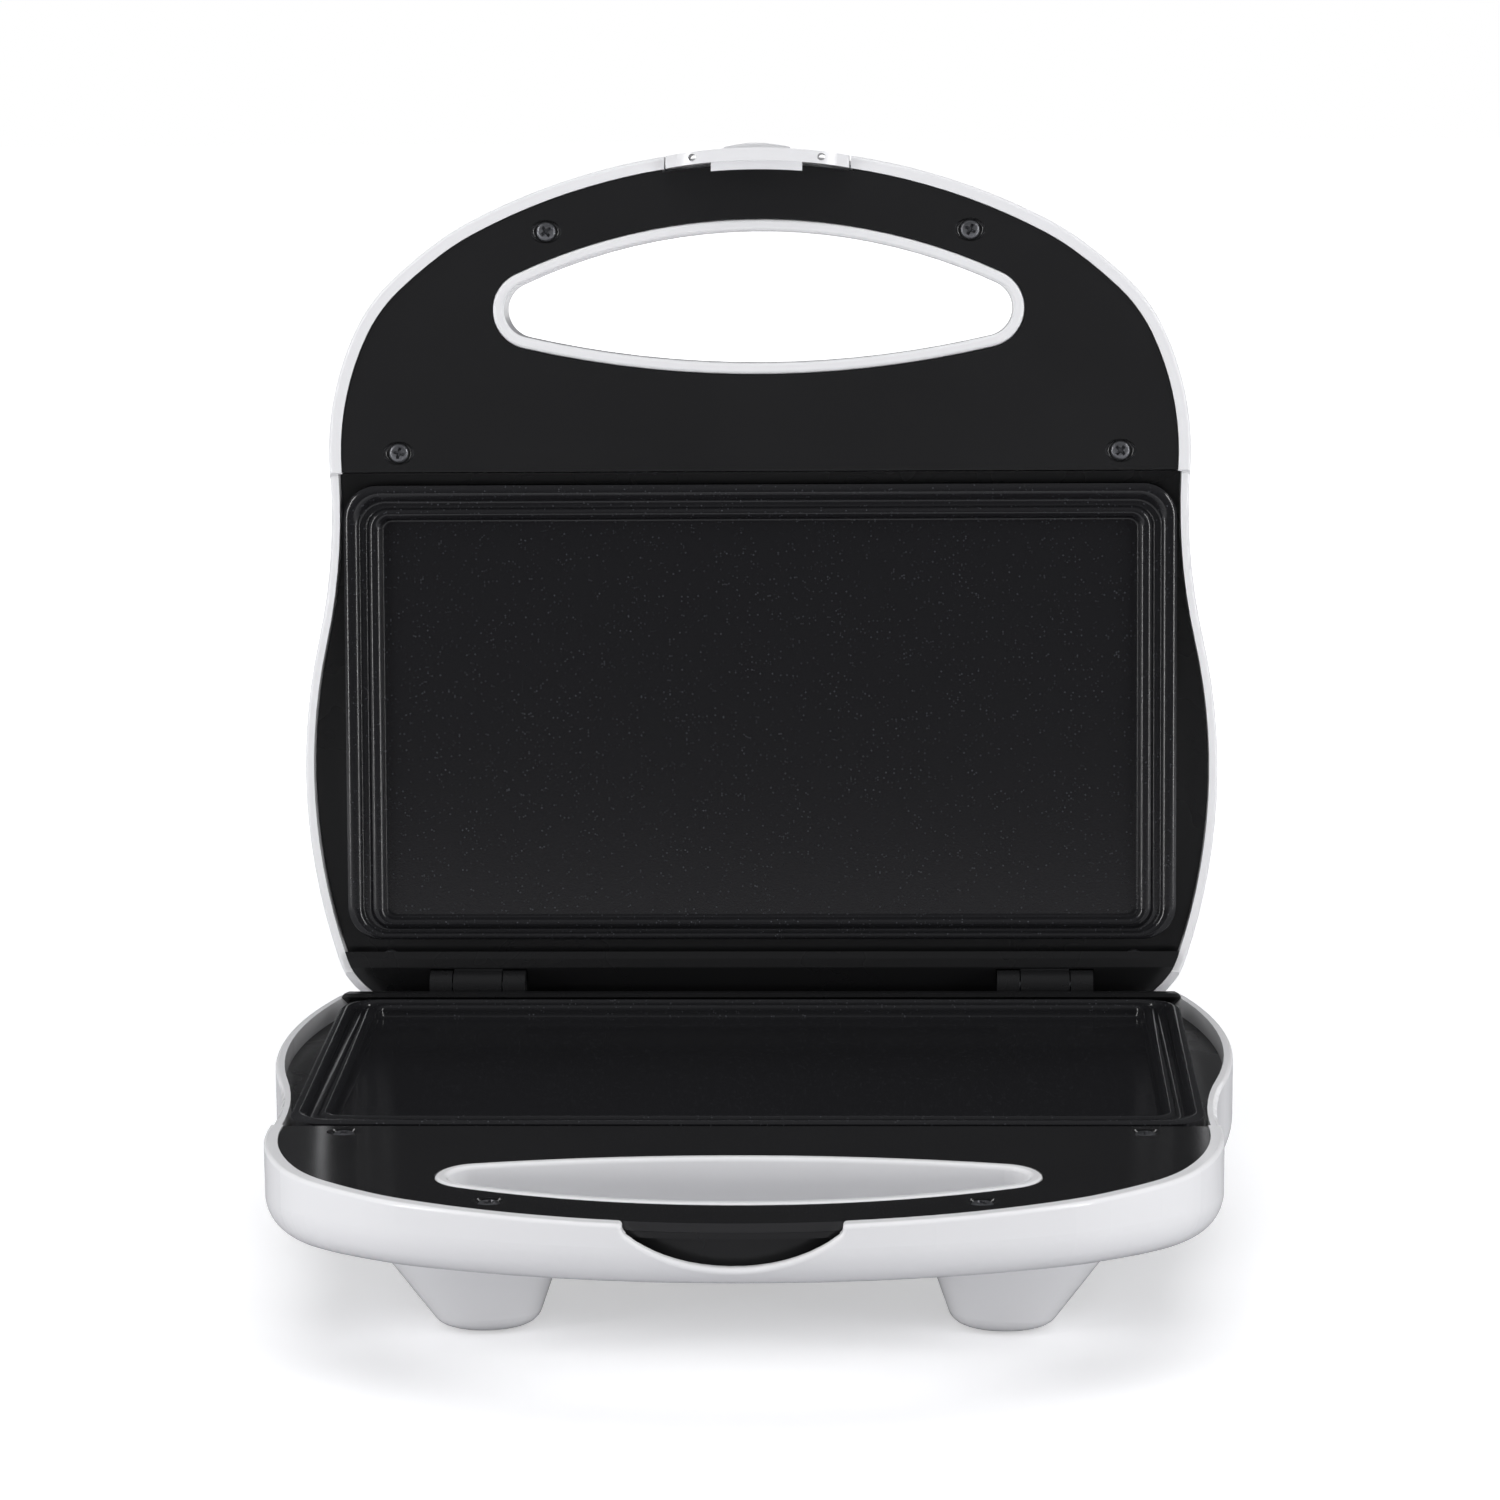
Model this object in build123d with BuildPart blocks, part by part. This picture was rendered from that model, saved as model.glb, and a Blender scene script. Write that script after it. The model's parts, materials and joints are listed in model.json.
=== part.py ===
from build123d import *
import math
import os

# Two-slice sandwich maker, lid standing open on its hinge.
# Each half is drawn in its own plane: x across, y from the hinge to the handle, and z outward from
# the plane where the two halves meet, so one function makes the lid's piece and the base's.

os.makedirs("parts", exist_ok=True)

# Overall sizes in millimetres
OPEN_ANGLE = 96.0
MATE_Z = 48.0
HINGE_Y = 89.6
GAP = 0.2
WALL = 2.3
RIM_WALL = 3.3
FIT = 0.15
SEAT = 0.05
REACH = 260.0

# Plan outline, right half: where its tangent arcs meet, across and forward of the hinge
FRONT_V = 223.1
REAR_V = -11.0
BROW_END = (45.7, 216.6)
FLANK = [
    (77.5, 203.8),
    (85.5, 198.8),
    (97.7, 188.7),
    (107.3, 175.6),
    (114.6, 138.0),
    (118.2, 93.0),
    (121.9, 50.0),
    (113.8, 7.0),
    (84.0, REAR_V),
]

# Side profiles of the two casings: forward of the hinge, and depth from the meeting plane
BASE_PROFILE = [(REACH, 11.5), (178, 19.4), (130, 26.8), (-60, 26.8)]
LID_PROFILE = [(REACH, 13.5), (178, 17.2), (120, 31.5), (40, 33.5), (-60, 29.5)]
PROFILE_RADIUS = 60.0
LID_ROUND = 8.5
BASE_ROUND = 10.5
LIP_ROUND = 1.0
LIP_STEP = 1.0
LIP_END = (137.0, 138.0)
BLOCK_DEPTH = 60.0
BEVEL_TOP = (5.0, GAP)
BEVEL_FOOT = (REAR_V, 12.4)
BEVEL_WALL = 3.0

# Oval finger hole through both handles
HOLE_FRONT = 204.6
HOLE_REAR = 163.7
HOLE_FRONT_RADIUS = 140.0
HOLE_REAR_RADIUS = 272.0
HOLE_END_RADIUS = 10.4
COLLAR_WALL = 3.0

# Handle covers and their screws
COVER_REAR = 138.0
COVER_TOP = 0.5
COVER_THICK = 2.2
COVER_LIP = 1.4
COVER_SCREWS = [(56.2, 201.6), (-56.2, 201.6), (96.0, 143.1), (-96.0, 143.1)]
DIMPLE_DEPTH = 1.0
DIMPLE_ACROSS = 4.2
DIMPLE_ALONG = 3.1
SCREW_HEAD = 2.65
SCREW_HEAD_HEIGHT = 0.9
SCREW_SHANK = 1.5
SCREW_PILOT = 1.55
SCREW_PASSAGE = 1.75
COVER_SCREW_LENGTH = 8.0
POST_SCREW_LENGTH = 7.0
BOTTOM_SCREW_LENGTH = 10.0
BOSS = 3.6
PILOT_DEPTH = 9.0

# Frames round the plates, with the sloping rear wall that carries the hinge
FRAME_TOP = 6.0
FRAME_THICK = 2.2
FRAME_LIP = 3.2
FRAME_LIP_THICK = 1.1
FRAME_REAR = 0.0
FRAME_FRONT = 137.6
REAR_WALL_RUN = 17.2
REAR_WALL_STEP = (2.4, 1.8)
LEDGE_WALL = 5.0
LEDGE_THICK = 2.0
LID_FRAME_SCREWS = [(100.0, 6.5), (-100.0, 6.5)]
TOWERS = [(92.0, 5.5), (-92.0, 5.5), (100.0, 134.65), (-100.0, 134.65)]
TOWER = 3.3
CUP = 5.8
CUP_FLOOR = 20.0
CUP_SINK = 22.0
CUP_BORE = 4.0

# Cooking plates: half width, then rear and front edges
PLATE_HALF = 111.0
PLATE_REAR = 12.5
PLATE_FRONT = 134.4
PLATE_TOP = 0.3
PLATE_BOTTOM = 7.0
PLATE_CORNER = 9.0
RIB_TOP = 0.9
GROOVE_FLOOR = 1.9
BASIN_FLOOR = 3.9
PLATE_STEPS = [(3.7, 1.8, 3.7), (6.5, 3.2, 6.2), (9.7, 5.4, 8.8)]
POSTS = [(38.0, 40.0), (-38.0, 40.0), (38.0, 104.0), (-38.0, 104.0)]

# Heating elements and the reflector trays under them
ELEMENT = 3.2
ELEMENT_W = 10.3
ELEMENT_HALF = 68.0
ELEMENT_REAR = 24.0
ELEMENT_FRONT = 116.0
ELEMENT_BEND = 26.0
COLD_PIN = 1.3
COLD_PIN_END = 10.0
COLD_PIN_HOLE = 2.6
CLAMP_SPOTS = [(68.0, 64.0), (-68.0, 64.0)]
CLAMP_LENGTH = 8.0
CLAMP_SHEET = 0.9
CLAMP_FOOT = 4.5
TRAY_HALF = 103.5
TRAY_REAR = 17.0
TRAY_FRONT = 126.5
TRAY_TOP = 8.3
TRAY_FLOOR = 15.2
TRAY_SHEET = 0.8
TRAY_FLANGE = 4.8
TRAY_CORNER = 8.0

# Hinge knuckles and pins
KNUCKLE = 4.2
KNUCKLE_SLOT = 4.6
KNUCKLE_MIDDLE = 76.0
KNUCKLE_LID = 13.0
KNUCKLE_BASE = 6.0
KNUCKLE_GAP = 0.3
KNUCKLE_WEB = [(0, 0), (4.1, 0.5), (6.5, 1.6), (-6.3, 10.4), (-6.0, 7.7), (-2.8, 4.0)]
HINGE_PIN = 1.5
PRESS_PLAY = 0.02
TURN_PLAY = 0.06

# Latch on the lid's front edge, and the smile-shaped recess with its catch in the base
LATCH_HALF = 24.3
LATCH_THICK = 3.3
LATCH_TOP = 8.8
LATCH_SIDE = -0.7
LATCH_SHOULDER = (21.1, -4.2)
LATCH_FOOT = -9.9
LATCH_PIVOT = (217.8, 6.6)
LATCH_BARREL = 2.4
LATCH_PIN = 1.1
LATCH_PIN_HALF = 28.0
THUMB_ACROSS = 10.2
THUMB_TALL = 2.6
THUMB_END = 223.4
THUMB_W = -2.0
THUMB_FRONT = 224.5
EYE_SPOTS = [(17.0, 220.7), (-17.0, 220.7)]
EYE = 1.0
NOTCH_HALF = 24.7
NOTCH_TOP = 11.4
CHEEK = 4.2
HOOK_HALF = 12.0
HOOK_INSET = 5.6
HOOK_TOP = -4.6
HOOK_FOOT = -7.8
RECESS_HALF = 24.8
RECESS_SIDE = 2.4
RECESS_SHOULDER = (21.6, 4.6)
RECESS_FOOT = 10.4
RECESS_BACK = 213.0
RECESS_MOUTH = 220.8
MOUTH_ROUND = 0.9
SMILE_CORNER = 2.0
CATCH_FACE = 4.0
CATCH_LEDGE = 4.2
CATCH_UNDERCUT = 6.3
CATCH_HALF = 26.5
CATCH_REAR = 211.0
CATCH_FOOT = 12.4

# Feet, hollow from inside, with pads let into their soles
FEET = [(61.8, 144.0), (-61.8, 144.0), (61.8, 24.0), (-61.8, 24.0)]
FOOT_ROOT_W = 16.0
FOOT_SPREAD = 6.5
FOOT_ROOT = (29.0, 19.0)
FOOT_SOLE_W = 47.4
FOOT_SOLE = (11.8, 10.8)
FOOT_WALL = 3.0
FOOT_ROUND = 4.8
PAD = 5.4
PAD_THICK = 1.8
PAD_SINK = 1.2

# Vents, indicator lenses, lamps, thermostat, fuse, terminals and cord hole
VENT_LENGTH = 26.0
VENT_WIDTH = 3.0
VENT_PITCH = 9.0
VENT_MIDDLE = 84.0
LENS_V = 112.0
LENS_HALF_SPACING = 8.0
LENS = 3.0
LENS_FLANGE = 4.4
LENS_SEAT = 28.0
LENS_FLANGE_THICK = 1.2
LENS_HEIGHT = 32.3
LAMP = 2.2
LAMP_TOP = 26.4
THERMOSTAT_V = 72.0
THERMOSTAT_STEPS = [(8.0, 3.0), (7.0, 8.0)]
THERMOSTAT_HOLE = 9.0
TERMINAL_TAB = (0.8, 6.3, 8.0)
FUSE = 1.9
FUSE_LENGTH = 11.0
FUSE_LEAD = 0.5
FUSE_LEAD_LENGTH = 26.0
FUSE_SPOT = (34.0, 72.0)
TERMINAL_SPOT = (40.0, 6.6)
TERMINAL_SIZE = (26.0, 13.0, 8.5)
TERMINAL_WELL = (2.2, 4.0)
CORD_X = -34.0
CORD_W = 19.4
CORD_BORE = 3.5
CORD_COLLAR = 5.8
CORD_COLLAR_FRONT = -5.0
CORD_COLLAR_REAR = -12.6

open_tilt = math.radians(OPEN_ANGLE)
hinge_point = Vector(0, HINGE_Y, MATE_Z)
base = Plane(origin=hinge_point, x_dir=(1, 0, 0), z_dir=(0, 0, -1))
lid = Plane(origin=hinge_point, x_dir=(-1, 0, 0), z_dir=(0, math.sin(open_tilt), math.cos(open_tilt)))


def side_of(half):
    """Plane through the middle of a half, with x forward and y outward."""
    return Plane(origin=half.origin, x_dir=half.y_dir, z_dir=half.x_dir)


def front_of(half, forward):
    """Plane facing the hinge from the given distance forward, with x across and y outward."""
    origin = half.origin + half.y_dir * forward
    return Plane(origin=origin, x_dir=half.x_dir, z_dir=half.y_dir * -1)


def save(builder, name):
    """Name a finished piece and write it."""
    builder.part.label = name
    export_step(builder.part, f"parts/{name}.step")


def outline_face(inset=0.0, rear=-50.0, front=REACH):
    """Plan outline of both casings, drawn in by a wall and cut to a stretch of its length."""
    with BuildLine() as flank:
        heading = (1, -2 * (FRONT_V - BROW_END[1]) / BROW_END[0])
        start = BROW_END
        for end in FLANK:
            arc = TangentArc(start, end, tangent=heading)
            start = arc @ 1
            heading = arc % 1
    with BuildSketch() as face:
        with BuildLine():
            ThreePointArc((-BROW_END[0], BROW_END[1]), (0, FRONT_V), BROW_END)
            add(flank.line)
            mirror(flank.line, about=Plane.YZ)
            Line(FLANK[-1], (-FLANK[-1][0], REAR_V))
        make_face()
        if inset:
            offset(amount=-inset)
        with Locations((0, (rear + front) / 2)):
            Rectangle(REACH, front - rear, mode=Mode.INTERSECT)
    return face.sketch


def hole_face(inset=0.0):
    """Lens-shaped finger hole: two long arcs with round ends."""
    spread = 1 / (2 * HOLE_FRONT_RADIUS) + 1 / (2 * HOLE_REAR_RADIUS)
    tip = math.sqrt((HOLE_FRONT - HOLE_REAR) / spread)
    tip_v = HOLE_REAR + tip**2 / (2 * HOLE_REAR_RADIUS)
    with BuildSketch() as face:
        with BuildLine():
            ThreePointArc((-tip, tip_v), (0, HOLE_FRONT), (tip, tip_v))
            ThreePointArc((-tip, tip_v), (0, HOLE_REAR), (tip, tip_v))
        make_face()
        fillet(face.vertices(), HOLE_END_RADIUS)
        if inset:
            offset(amount=-inset)
    return face.sketch


def plate_face(half_width, rear, front, corner):
    """Rectangle with rounded corners, from its half width and its rear and front edges."""
    with BuildSketch() as face:
        with Locations((0, (rear + front) / 2)):
            RectangleRounded(2 * half_width, front - rear, corner)
    return face.sketch


def outward(half):
    """Axis that measures depth from the meeting plane."""
    return Axis(half.origin, half.z_dir)


def casing_block(half, profile, inset, bevel_inset, round_radius):
    """Solid of the outline cut to the side profile, its outer edge rounded."""
    sunk = [(v, w - inset) for v, w in profile]
    run = Vector(*BEVEL_FOOT) - Vector(*BEVEL_TOP)
    normal = Vector(run.Y, -run.X).normalized() * bevel_inset
    top = Vector(*BEVEL_TOP) + normal - run
    foot = Vector(*BEVEL_FOOT) + normal + run
    with BuildPart() as block:
        with BuildSketch(half.offset(GAP - inset)):
            add(outline_face(inset))
        extrude(amount=BLOCK_DEPTH)
        with BuildSketch(side_of(half)):
            with BuildLine():
                crest = FilletPolyline(*sunk, radius=PROFILE_RADIUS)
                Polyline(crest @ 1, (-BLOCK_DEPTH, -BEVEL_WALL), (REACH, -BEVEL_WALL), crest @ 0)
            make_face()
            with BuildLine():
                Polyline((top.X, top.Y), (foot.X, foot.Y), (-REACH, foot.Y), (-REACH, top.Y), close=True)
            make_face(mode=Mode.SUBTRACT)
        extrude(amount=REACH / 2, both=True, mode=Mode.INTERSECT)
        skin = block.faces().filter_by(lambda f: f.normal_at(None).dot(half.z_dir) > 0.9)
        crown = [e for e in skin.edges() if e in (block.faces() - skin).edges()]
        fillet(crown, round_radius)
    return block.part


def handle_pillars(half, outer, spots, extra):
    """Collar of the finger hole and the screw bosses, all reaching the outer skin."""
    with BuildPart() as pillars:
        with BuildSketch(half.offset(GAP)):
            add(hole_face())
        extrude(amount=REACH)
        with BuildSketch(half.offset(COVER_TOP + COVER_THICK + KNUCKLE_GAP / 2)):
            with Locations(*spots):
                Circle(BOSS)
            if extra:
                with Locations(*extra):
                    Rectangle(CHEEK, 2 * CHEEK - 1)
        extrude(amount=REACH)
        add(outer, mode=Mode.INTERSECT)
    return pillars.part


def lip_edges(half, shell):
    """Edges of a casing's lip along the plan outline, and round its finger hole."""
    loops = outline_face().edges() + hole_face().edges() + hole_face(COLLAR_WALL).edges()
    edges = []
    for level in (GAP, GAP + LIP_STEP):
        for edge in shell.edges():
            middle = half.to_local_coords(edge @ 0.5)
            flat = abs(half.to_local_coords(edge @ 0).Z - level) < SEAT
            plan = Vertex(middle.X, middle.Y, 0)
            if flat and abs(middle.Z - level) < SEAT and min(plan.distance_to(loop) for loop in loops) < SEAT:
                edges.append(edge)
    return edges


def casing(half, profile, outer_round, cheeks=()):
    """Moulded outer shell of one half, open where the plate and handle cover close it."""
    outer = casing_block(half, profile, 0, 0, outer_round)
    inner = casing_block(half, profile, WALL, -1, outer_round - WALL)
    pillars = handle_pillars(half, outer, COVER_SCREWS, cheeks)
    with BuildPart() as shell:
        add(outer)
        add(inner, mode=Mode.SUBTRACT)
        with BuildSketch(half.offset(GAP)):
            add(outline_face(1.0, rear=FRAME_FRONT))
            add(outline_face(RIM_WALL), mode=Mode.SUBTRACT)
        extrude(amount=COVER_TOP + COVER_THICK)
        with BuildSketch(half.offset(FRAME_TOP + FRAME_THICK + SEAT)):
            add(outline_face(1.0, rear=CUP_FLOOR, front=FRAME_FRONT))
            add(outline_face(LEDGE_WALL), mode=Mode.SUBTRACT)
        extrude(amount=LEDGE_THICK)
        add(pillars)
        with BuildSketch(half.offset(-1)):
            add(hole_face(COLLAR_WALL))
        extrude(amount=REACH, mode=Mode.SUBTRACT)
        with BuildSketch(half.offset(GAP)):
            with Locations(*COVER_SCREWS):
                Circle(SCREW_PILOT)
        extrude(amount=COVER_TOP + COVER_THICK + PILOT_DEPTH, mode=Mode.SUBTRACT)
        with BuildSketch(side_of(half)):
            Polygon((-REACH, -1), (LIP_END[1], -1), (LIP_END[1], GAP), (LIP_END[0], GAP + LIP_STEP),
                    (-REACH, GAP + LIP_STEP), align=None)
        extrude(amount=REACH, both=True, mode=Mode.SUBTRACT)
        fillet(lip_edges(half, shell), LIP_ROUND)
    return shell.part


def foot_body(spot, shrink, sole_w, edge):
    """Skewed cone of one foot, wider outward at its root."""
    side = math.copysign(1, spot[0])
    with BuildPart() as foot:
        with BuildSketch(base.offset(FOOT_ROOT_W)):
            with Locations((spot[0] + side * FOOT_SPREAD, spot[1])):
                Ellipse(FOOT_ROOT[0] - shrink, FOOT_ROOT[1] - shrink)
        with BuildSketch(base.offset(sole_w)):
            with Locations(spot):
                Ellipse(FOOT_SOLE[0] - shrink, FOOT_SOLE[1] - shrink)
        loft()
        if edge:
            fillet(foot.faces().sort_by(Axis.Z)[0].edges(), edge)
    return foot.part


def smile_face(half_width, side_w, shoulder, foot_w, top_w):
    """Front view of the latch recess: straight sides, then a shallow arc."""
    with BuildSketch() as face:
        with BuildLine():
            Polyline((-shoulder[0], shoulder[1]), (-half_width, side_w), (-half_width, top_w),
                     (half_width, top_w), (half_width, side_w), shoulder)
            ThreePointArc(shoulder, (0, foot_w), (-shoulder[0], shoulder[1]))
        make_face()
        fillet(face.vertices().filter_by(lambda corner: corner.Y == side_w), SMILE_CORNER)
    return face.sketch


def latch_band(inset, half_width):
    """Plan of the strip in front of an inset of the outline, across the latch."""
    with BuildSketch() as band:
        with Locations((0, FRONT_V)):
            Rectangle(2 * half_width, 30)
        add(outline_face(inset), mode=Mode.SUBTRACT)
    return band.sketch


def knuckle_run(half, centres, width, radius, web=False):
    """Discs round the hinge axis, with the webs that tie them to their frame."""
    with BuildPart() as knuckles:
        for centre in centres:
            face_plane = side_of(half).offset(centre - width / 2)
            with BuildSketch(face_plane):
                Circle(radius)
                if web:
                    Polygon(*KNUCKLE_WEB, align=None)
            extrude(amount=width)
    return knuckles.part


lid_knuckles = [-KNUCKLE_MIDDLE, KNUCKLE_MIDDLE]
lug_offset = KNUCKLE_LID / 2 + KNUCKLE_GAP + KNUCKLE_BASE / 2
base_knuckles = [side * KNUCKLE_MIDDLE + step for side in (-1, 1) for step in (-lug_offset, lug_offset)]


def frame(half, own, own_width, other, other_width, bore, towers=(), screws=()):
    """Frame round the plate with its sloping rear wall, hinge knuckles and screw towers."""
    run = (Vector(*BEVEL_FOOT) - Vector(*BEVEL_TOP)).normalized()
    inward = Vector(run.Y, -run.X) * BEVEL_WALL
    foot = Vector(*BEVEL_TOP) + run * REAR_WALL_RUN
    step_v, step_w = REAR_WALL_STEP
    with BuildPart() as slab:
        with BuildSketch(side_of(half)):
            with BuildLine():
                Polyline(BEVEL_TOP, (foot.X, foot.Y), (foot.X + inward.X, foot.Y + inward.Y),
                         (BEVEL_TOP[0] + inward.X + step_v, BEVEL_TOP[1] + inward.Y - step_w),
                         (BEVEL_TOP[0] + step_v, BEVEL_TOP[1]), close=True)
            make_face()
        extrude(amount=REACH / 2, both=True)
        with BuildSketch(half.offset(GAP)):
            add(outline_face(WALL + FIT))
        extrude(amount=REACH, mode=Mode.INTERSECT)
    edge = (PLATE_HALF + FIT, PLATE_REAR - FIT, PLATE_FRONT + FIT)
    lip = (PLATE_HALF - FRAME_LIP, PLATE_REAR + FRAME_LIP, PLATE_FRONT - FRAME_LIP)
    with BuildPart() as piece:
        with BuildSketch(half.offset(FRAME_TOP)):
            add(outline_face(WALL + FIT, rear=FRAME_REAR, front=FRAME_FRONT))
            if towers:
                with Locations(*towers):
                    Circle(TOWER)
        extrude(amount=FRAME_THICK)
        if towers:
            with BuildSketch(half.offset(FRAME_TOP + FRAME_THICK)):
                with Locations(*towers):
                    Circle(TOWER)
            extrude(amount=CUP_FLOOR - FRAME_TOP - FRAME_THICK - SEAT)
        add(slab.part)
        add(knuckle_run(half, own, own_width, KNUCKLE, web=True))
        with BuildSketch(half.offset(GAP - 1)):
            add(plate_face(*edge, PLATE_CORNER))
        extrude(amount=FRAME_TOP + FRAME_THICK - FRAME_LIP_THICK - GAP + 1, mode=Mode.SUBTRACT)
        with BuildSketch(half.offset(FRAME_TOP)):
            add(plate_face(*lip, PLATE_CORNER - FRAME_LIP))
        extrude(amount=FRAME_THICK + SEAT, mode=Mode.SUBTRACT)
        add(knuckle_run(half, other, other_width + 2 * KNUCKLE_GAP, KNUCKLE_SLOT), mode=Mode.SUBTRACT)
        add(knuckle_run(half, [0], REACH, bore), mode=Mode.SUBTRACT)
        if towers:
            with BuildSketch(half.offset(CUP_FLOOR)):
                with Locations(*towers):
                    Circle(SCREW_PILOT)
            extrude(amount=-PILOT_DEPTH, mode=Mode.SUBTRACT)
        if screws:
            with BuildSketch(half.offset(FRAME_TOP - 1)):
                with Locations(*screws):
                    Circle(SCREW_PASSAGE)
            extrude(amount=REACH, mode=Mode.SUBTRACT)
    return piece


def cover(half):
    """Glossy cover over the handle, with a skirt down to the frame and four screw dimples."""
    outline = outline_face(RIM_WALL + FIT, rear=COVER_REAR)
    with BuildPart() as piece:
        with BuildSketch(half.offset(COVER_TOP)):
            add(outline)
            add(hole_face(-FIT), mode=Mode.SUBTRACT)
            add(latch_band(CATCH_FACE, NOTCH_HALF + 0.5), mode=Mode.SUBTRACT)
        extrude(amount=COVER_THICK)
        with BuildSketch(half.offset(COVER_TOP)):
            add(outline_face(RIM_WALL + FIT, rear=COVER_REAR, front=COVER_REAR + COVER_LIP))
        extrude(amount=FRAME_TOP - COVER_TOP + 2)
        with BuildSketch(half.offset(COVER_TOP)):
            with Locations(*COVER_SCREWS):
                Ellipse(DIMPLE_ACROSS, DIMPLE_ALONG)
        extrude(amount=DIMPLE_DEPTH, mode=Mode.SUBTRACT)
        with BuildSketch(half.offset(COVER_TOP)):
            with Locations(*COVER_SCREWS):
                Circle(SCREW_PASSAGE)
        extrude(amount=COVER_THICK, mode=Mode.SUBTRACT)
    return piece


def plate(half):
    """Cast cooking plate: two ribs round a flat basin, and posts behind for its screws."""
    with BuildPart() as piece:
        with BuildSketch(half.offset(PLATE_TOP)):
            add(plate_face(PLATE_HALF, PLATE_REAR, PLATE_FRONT, PLATE_CORNER))
        extrude(amount=PLATE_BOTTOM - PLATE_TOP)
        levels = (GROOVE_FLOOR, RIB_TOP, BASIN_FLOOR)
        faces = []
        for side, rear, front in PLATE_STEPS:
            corner = PLATE_CORNER - rear * 0.8
            faces.append(plate_face(PLATE_HALF - side, PLATE_REAR + rear, PLATE_FRONT - front, corner))
        with BuildSketch(half.offset(PLATE_TOP)):
            add(faces[0])
            add(faces[1], mode=Mode.SUBTRACT)
        extrude(amount=levels[0] - PLATE_TOP, mode=Mode.SUBTRACT)
        with BuildSketch(half.offset(PLATE_TOP)):
            add(faces[1])
        extrude(amount=levels[1] - PLATE_TOP, mode=Mode.SUBTRACT)
        with BuildSketch(half.offset(PLATE_TOP)):
            add(faces[2])
        extrude(amount=levels[2] - PLATE_TOP, mode=Mode.SUBTRACT)
        with BuildSketch(half.offset(PLATE_BOTTOM)):
            with Locations(*POSTS):
                Circle(BOSS)
        extrude(amount=TRAY_FLOOR - PLATE_BOTTOM - SEAT)
        with BuildSketch(half.offset(TRAY_FLOOR)):
            with Locations(*POSTS):
                Circle(SCREW_PILOT)
        extrude(amount=-PILOT_DEPTH, mode=Mode.SUBTRACT)
    return piece


def element(half):
    """Bent tubular heating element with a cold pin at each end."""
    corners = [(-ELEMENT_HALF, ELEMENT_REAR), (-ELEMENT_HALF, ELEMENT_FRONT),
               (ELEMENT_HALF, ELEMENT_FRONT), (ELEMENT_HALF, ELEMENT_REAR)]
    with BuildPart() as piece:
        with BuildLine(half.offset(ELEMENT_W)) as path:
            FilletPolyline(*corners, radius=ELEMENT_BEND)
        with BuildSketch(Plane(origin=path.line @ 0, z_dir=path.line % 0)):
            Circle(ELEMENT)
        sweep()
        with BuildSketch(front_of(half, ELEMENT_REAR)):
            with Locations((ELEMENT_HALF, ELEMENT_W), (-ELEMENT_HALF, ELEMENT_W)):
                Circle(COLD_PIN)
        extrude(amount=ELEMENT_REAR - COLD_PIN_END)
    return piece


def clamps(half):
    """Sheet straps that hold the element against the plate."""
    outer = ELEMENT + FIT + CLAMP_SHEET
    with BuildPart() as piece:
        for u, v in CLAMP_SPOTS:
            across = front_of(half, v + CLAMP_LENGTH / 2)
            with BuildSketch(across):
                with Locations((u, ELEMENT_W)):
                    Circle(outer)
                with Locations((u, PLATE_BOTTOM + SEAT + CLAMP_SHEET / 2)):
                    Rectangle(2 * (outer + CLAMP_FOOT), CLAMP_SHEET)
                with Locations((u, ELEMENT_W)):
                    Circle(ELEMENT + FIT, mode=Mode.SUBTRACT)
                with Locations((u, PLATE_BOTTOM + SEAT)):
                    Rectangle(4 * outer, 2 * outer, align=(Align.CENTER, Align.MAX), mode=Mode.SUBTRACT)
            extrude(amount=CLAMP_LENGTH)
    return piece


def tray(half, hole=None):
    """Reflector tray pressed from sheet, hung by its flange under the frame."""
    size = (TRAY_HALF, TRAY_REAR, TRAY_FRONT)
    inner = (TRAY_HALF - TRAY_SHEET, TRAY_REAR + TRAY_SHEET, TRAY_FRONT - TRAY_SHEET)
    flange = (TRAY_HALF + TRAY_FLANGE, TRAY_REAR - TRAY_FLANGE, TRAY_FRONT + TRAY_FLANGE)
    with BuildPart() as piece:
        with BuildSketch(half.offset(TRAY_TOP)):
            add(plate_face(*size, TRAY_CORNER))
        extrude(amount=TRAY_FLOOR + TRAY_SHEET - TRAY_TOP)
        with BuildSketch(half.offset(TRAY_TOP)):
            add(plate_face(*flange, TRAY_CORNER))
        extrude(amount=TRAY_SHEET)
        with BuildSketch(half.offset(TRAY_TOP)):
            add(plate_face(*inner, TRAY_CORNER - TRAY_SHEET))
        extrude(amount=TRAY_FLOOR - TRAY_TOP, mode=Mode.SUBTRACT)
        with BuildSketch(half.offset(TRAY_FLOOR)):
            with Locations(*POSTS):
                Circle(SCREW_PASSAGE)
            if hole:
                with Locations(hole):
                    Circle(THERMOSTAT_HOLE)
        extrude(amount=TRAY_SHEET, mode=Mode.SUBTRACT)
        with BuildSketch(front_of(half, TRAY_REAR + 2 * TRAY_SHEET)):
            with Locations((ELEMENT_HALF, ELEMENT_W), (-ELEMENT_HALF, ELEMENT_W)):
                Circle(COLD_PIN_HOLE)
        extrude(amount=2 * TRAY_SHEET + TRAY_FLANGE, mode=Mode.SUBTRACT)
    return piece


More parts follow.
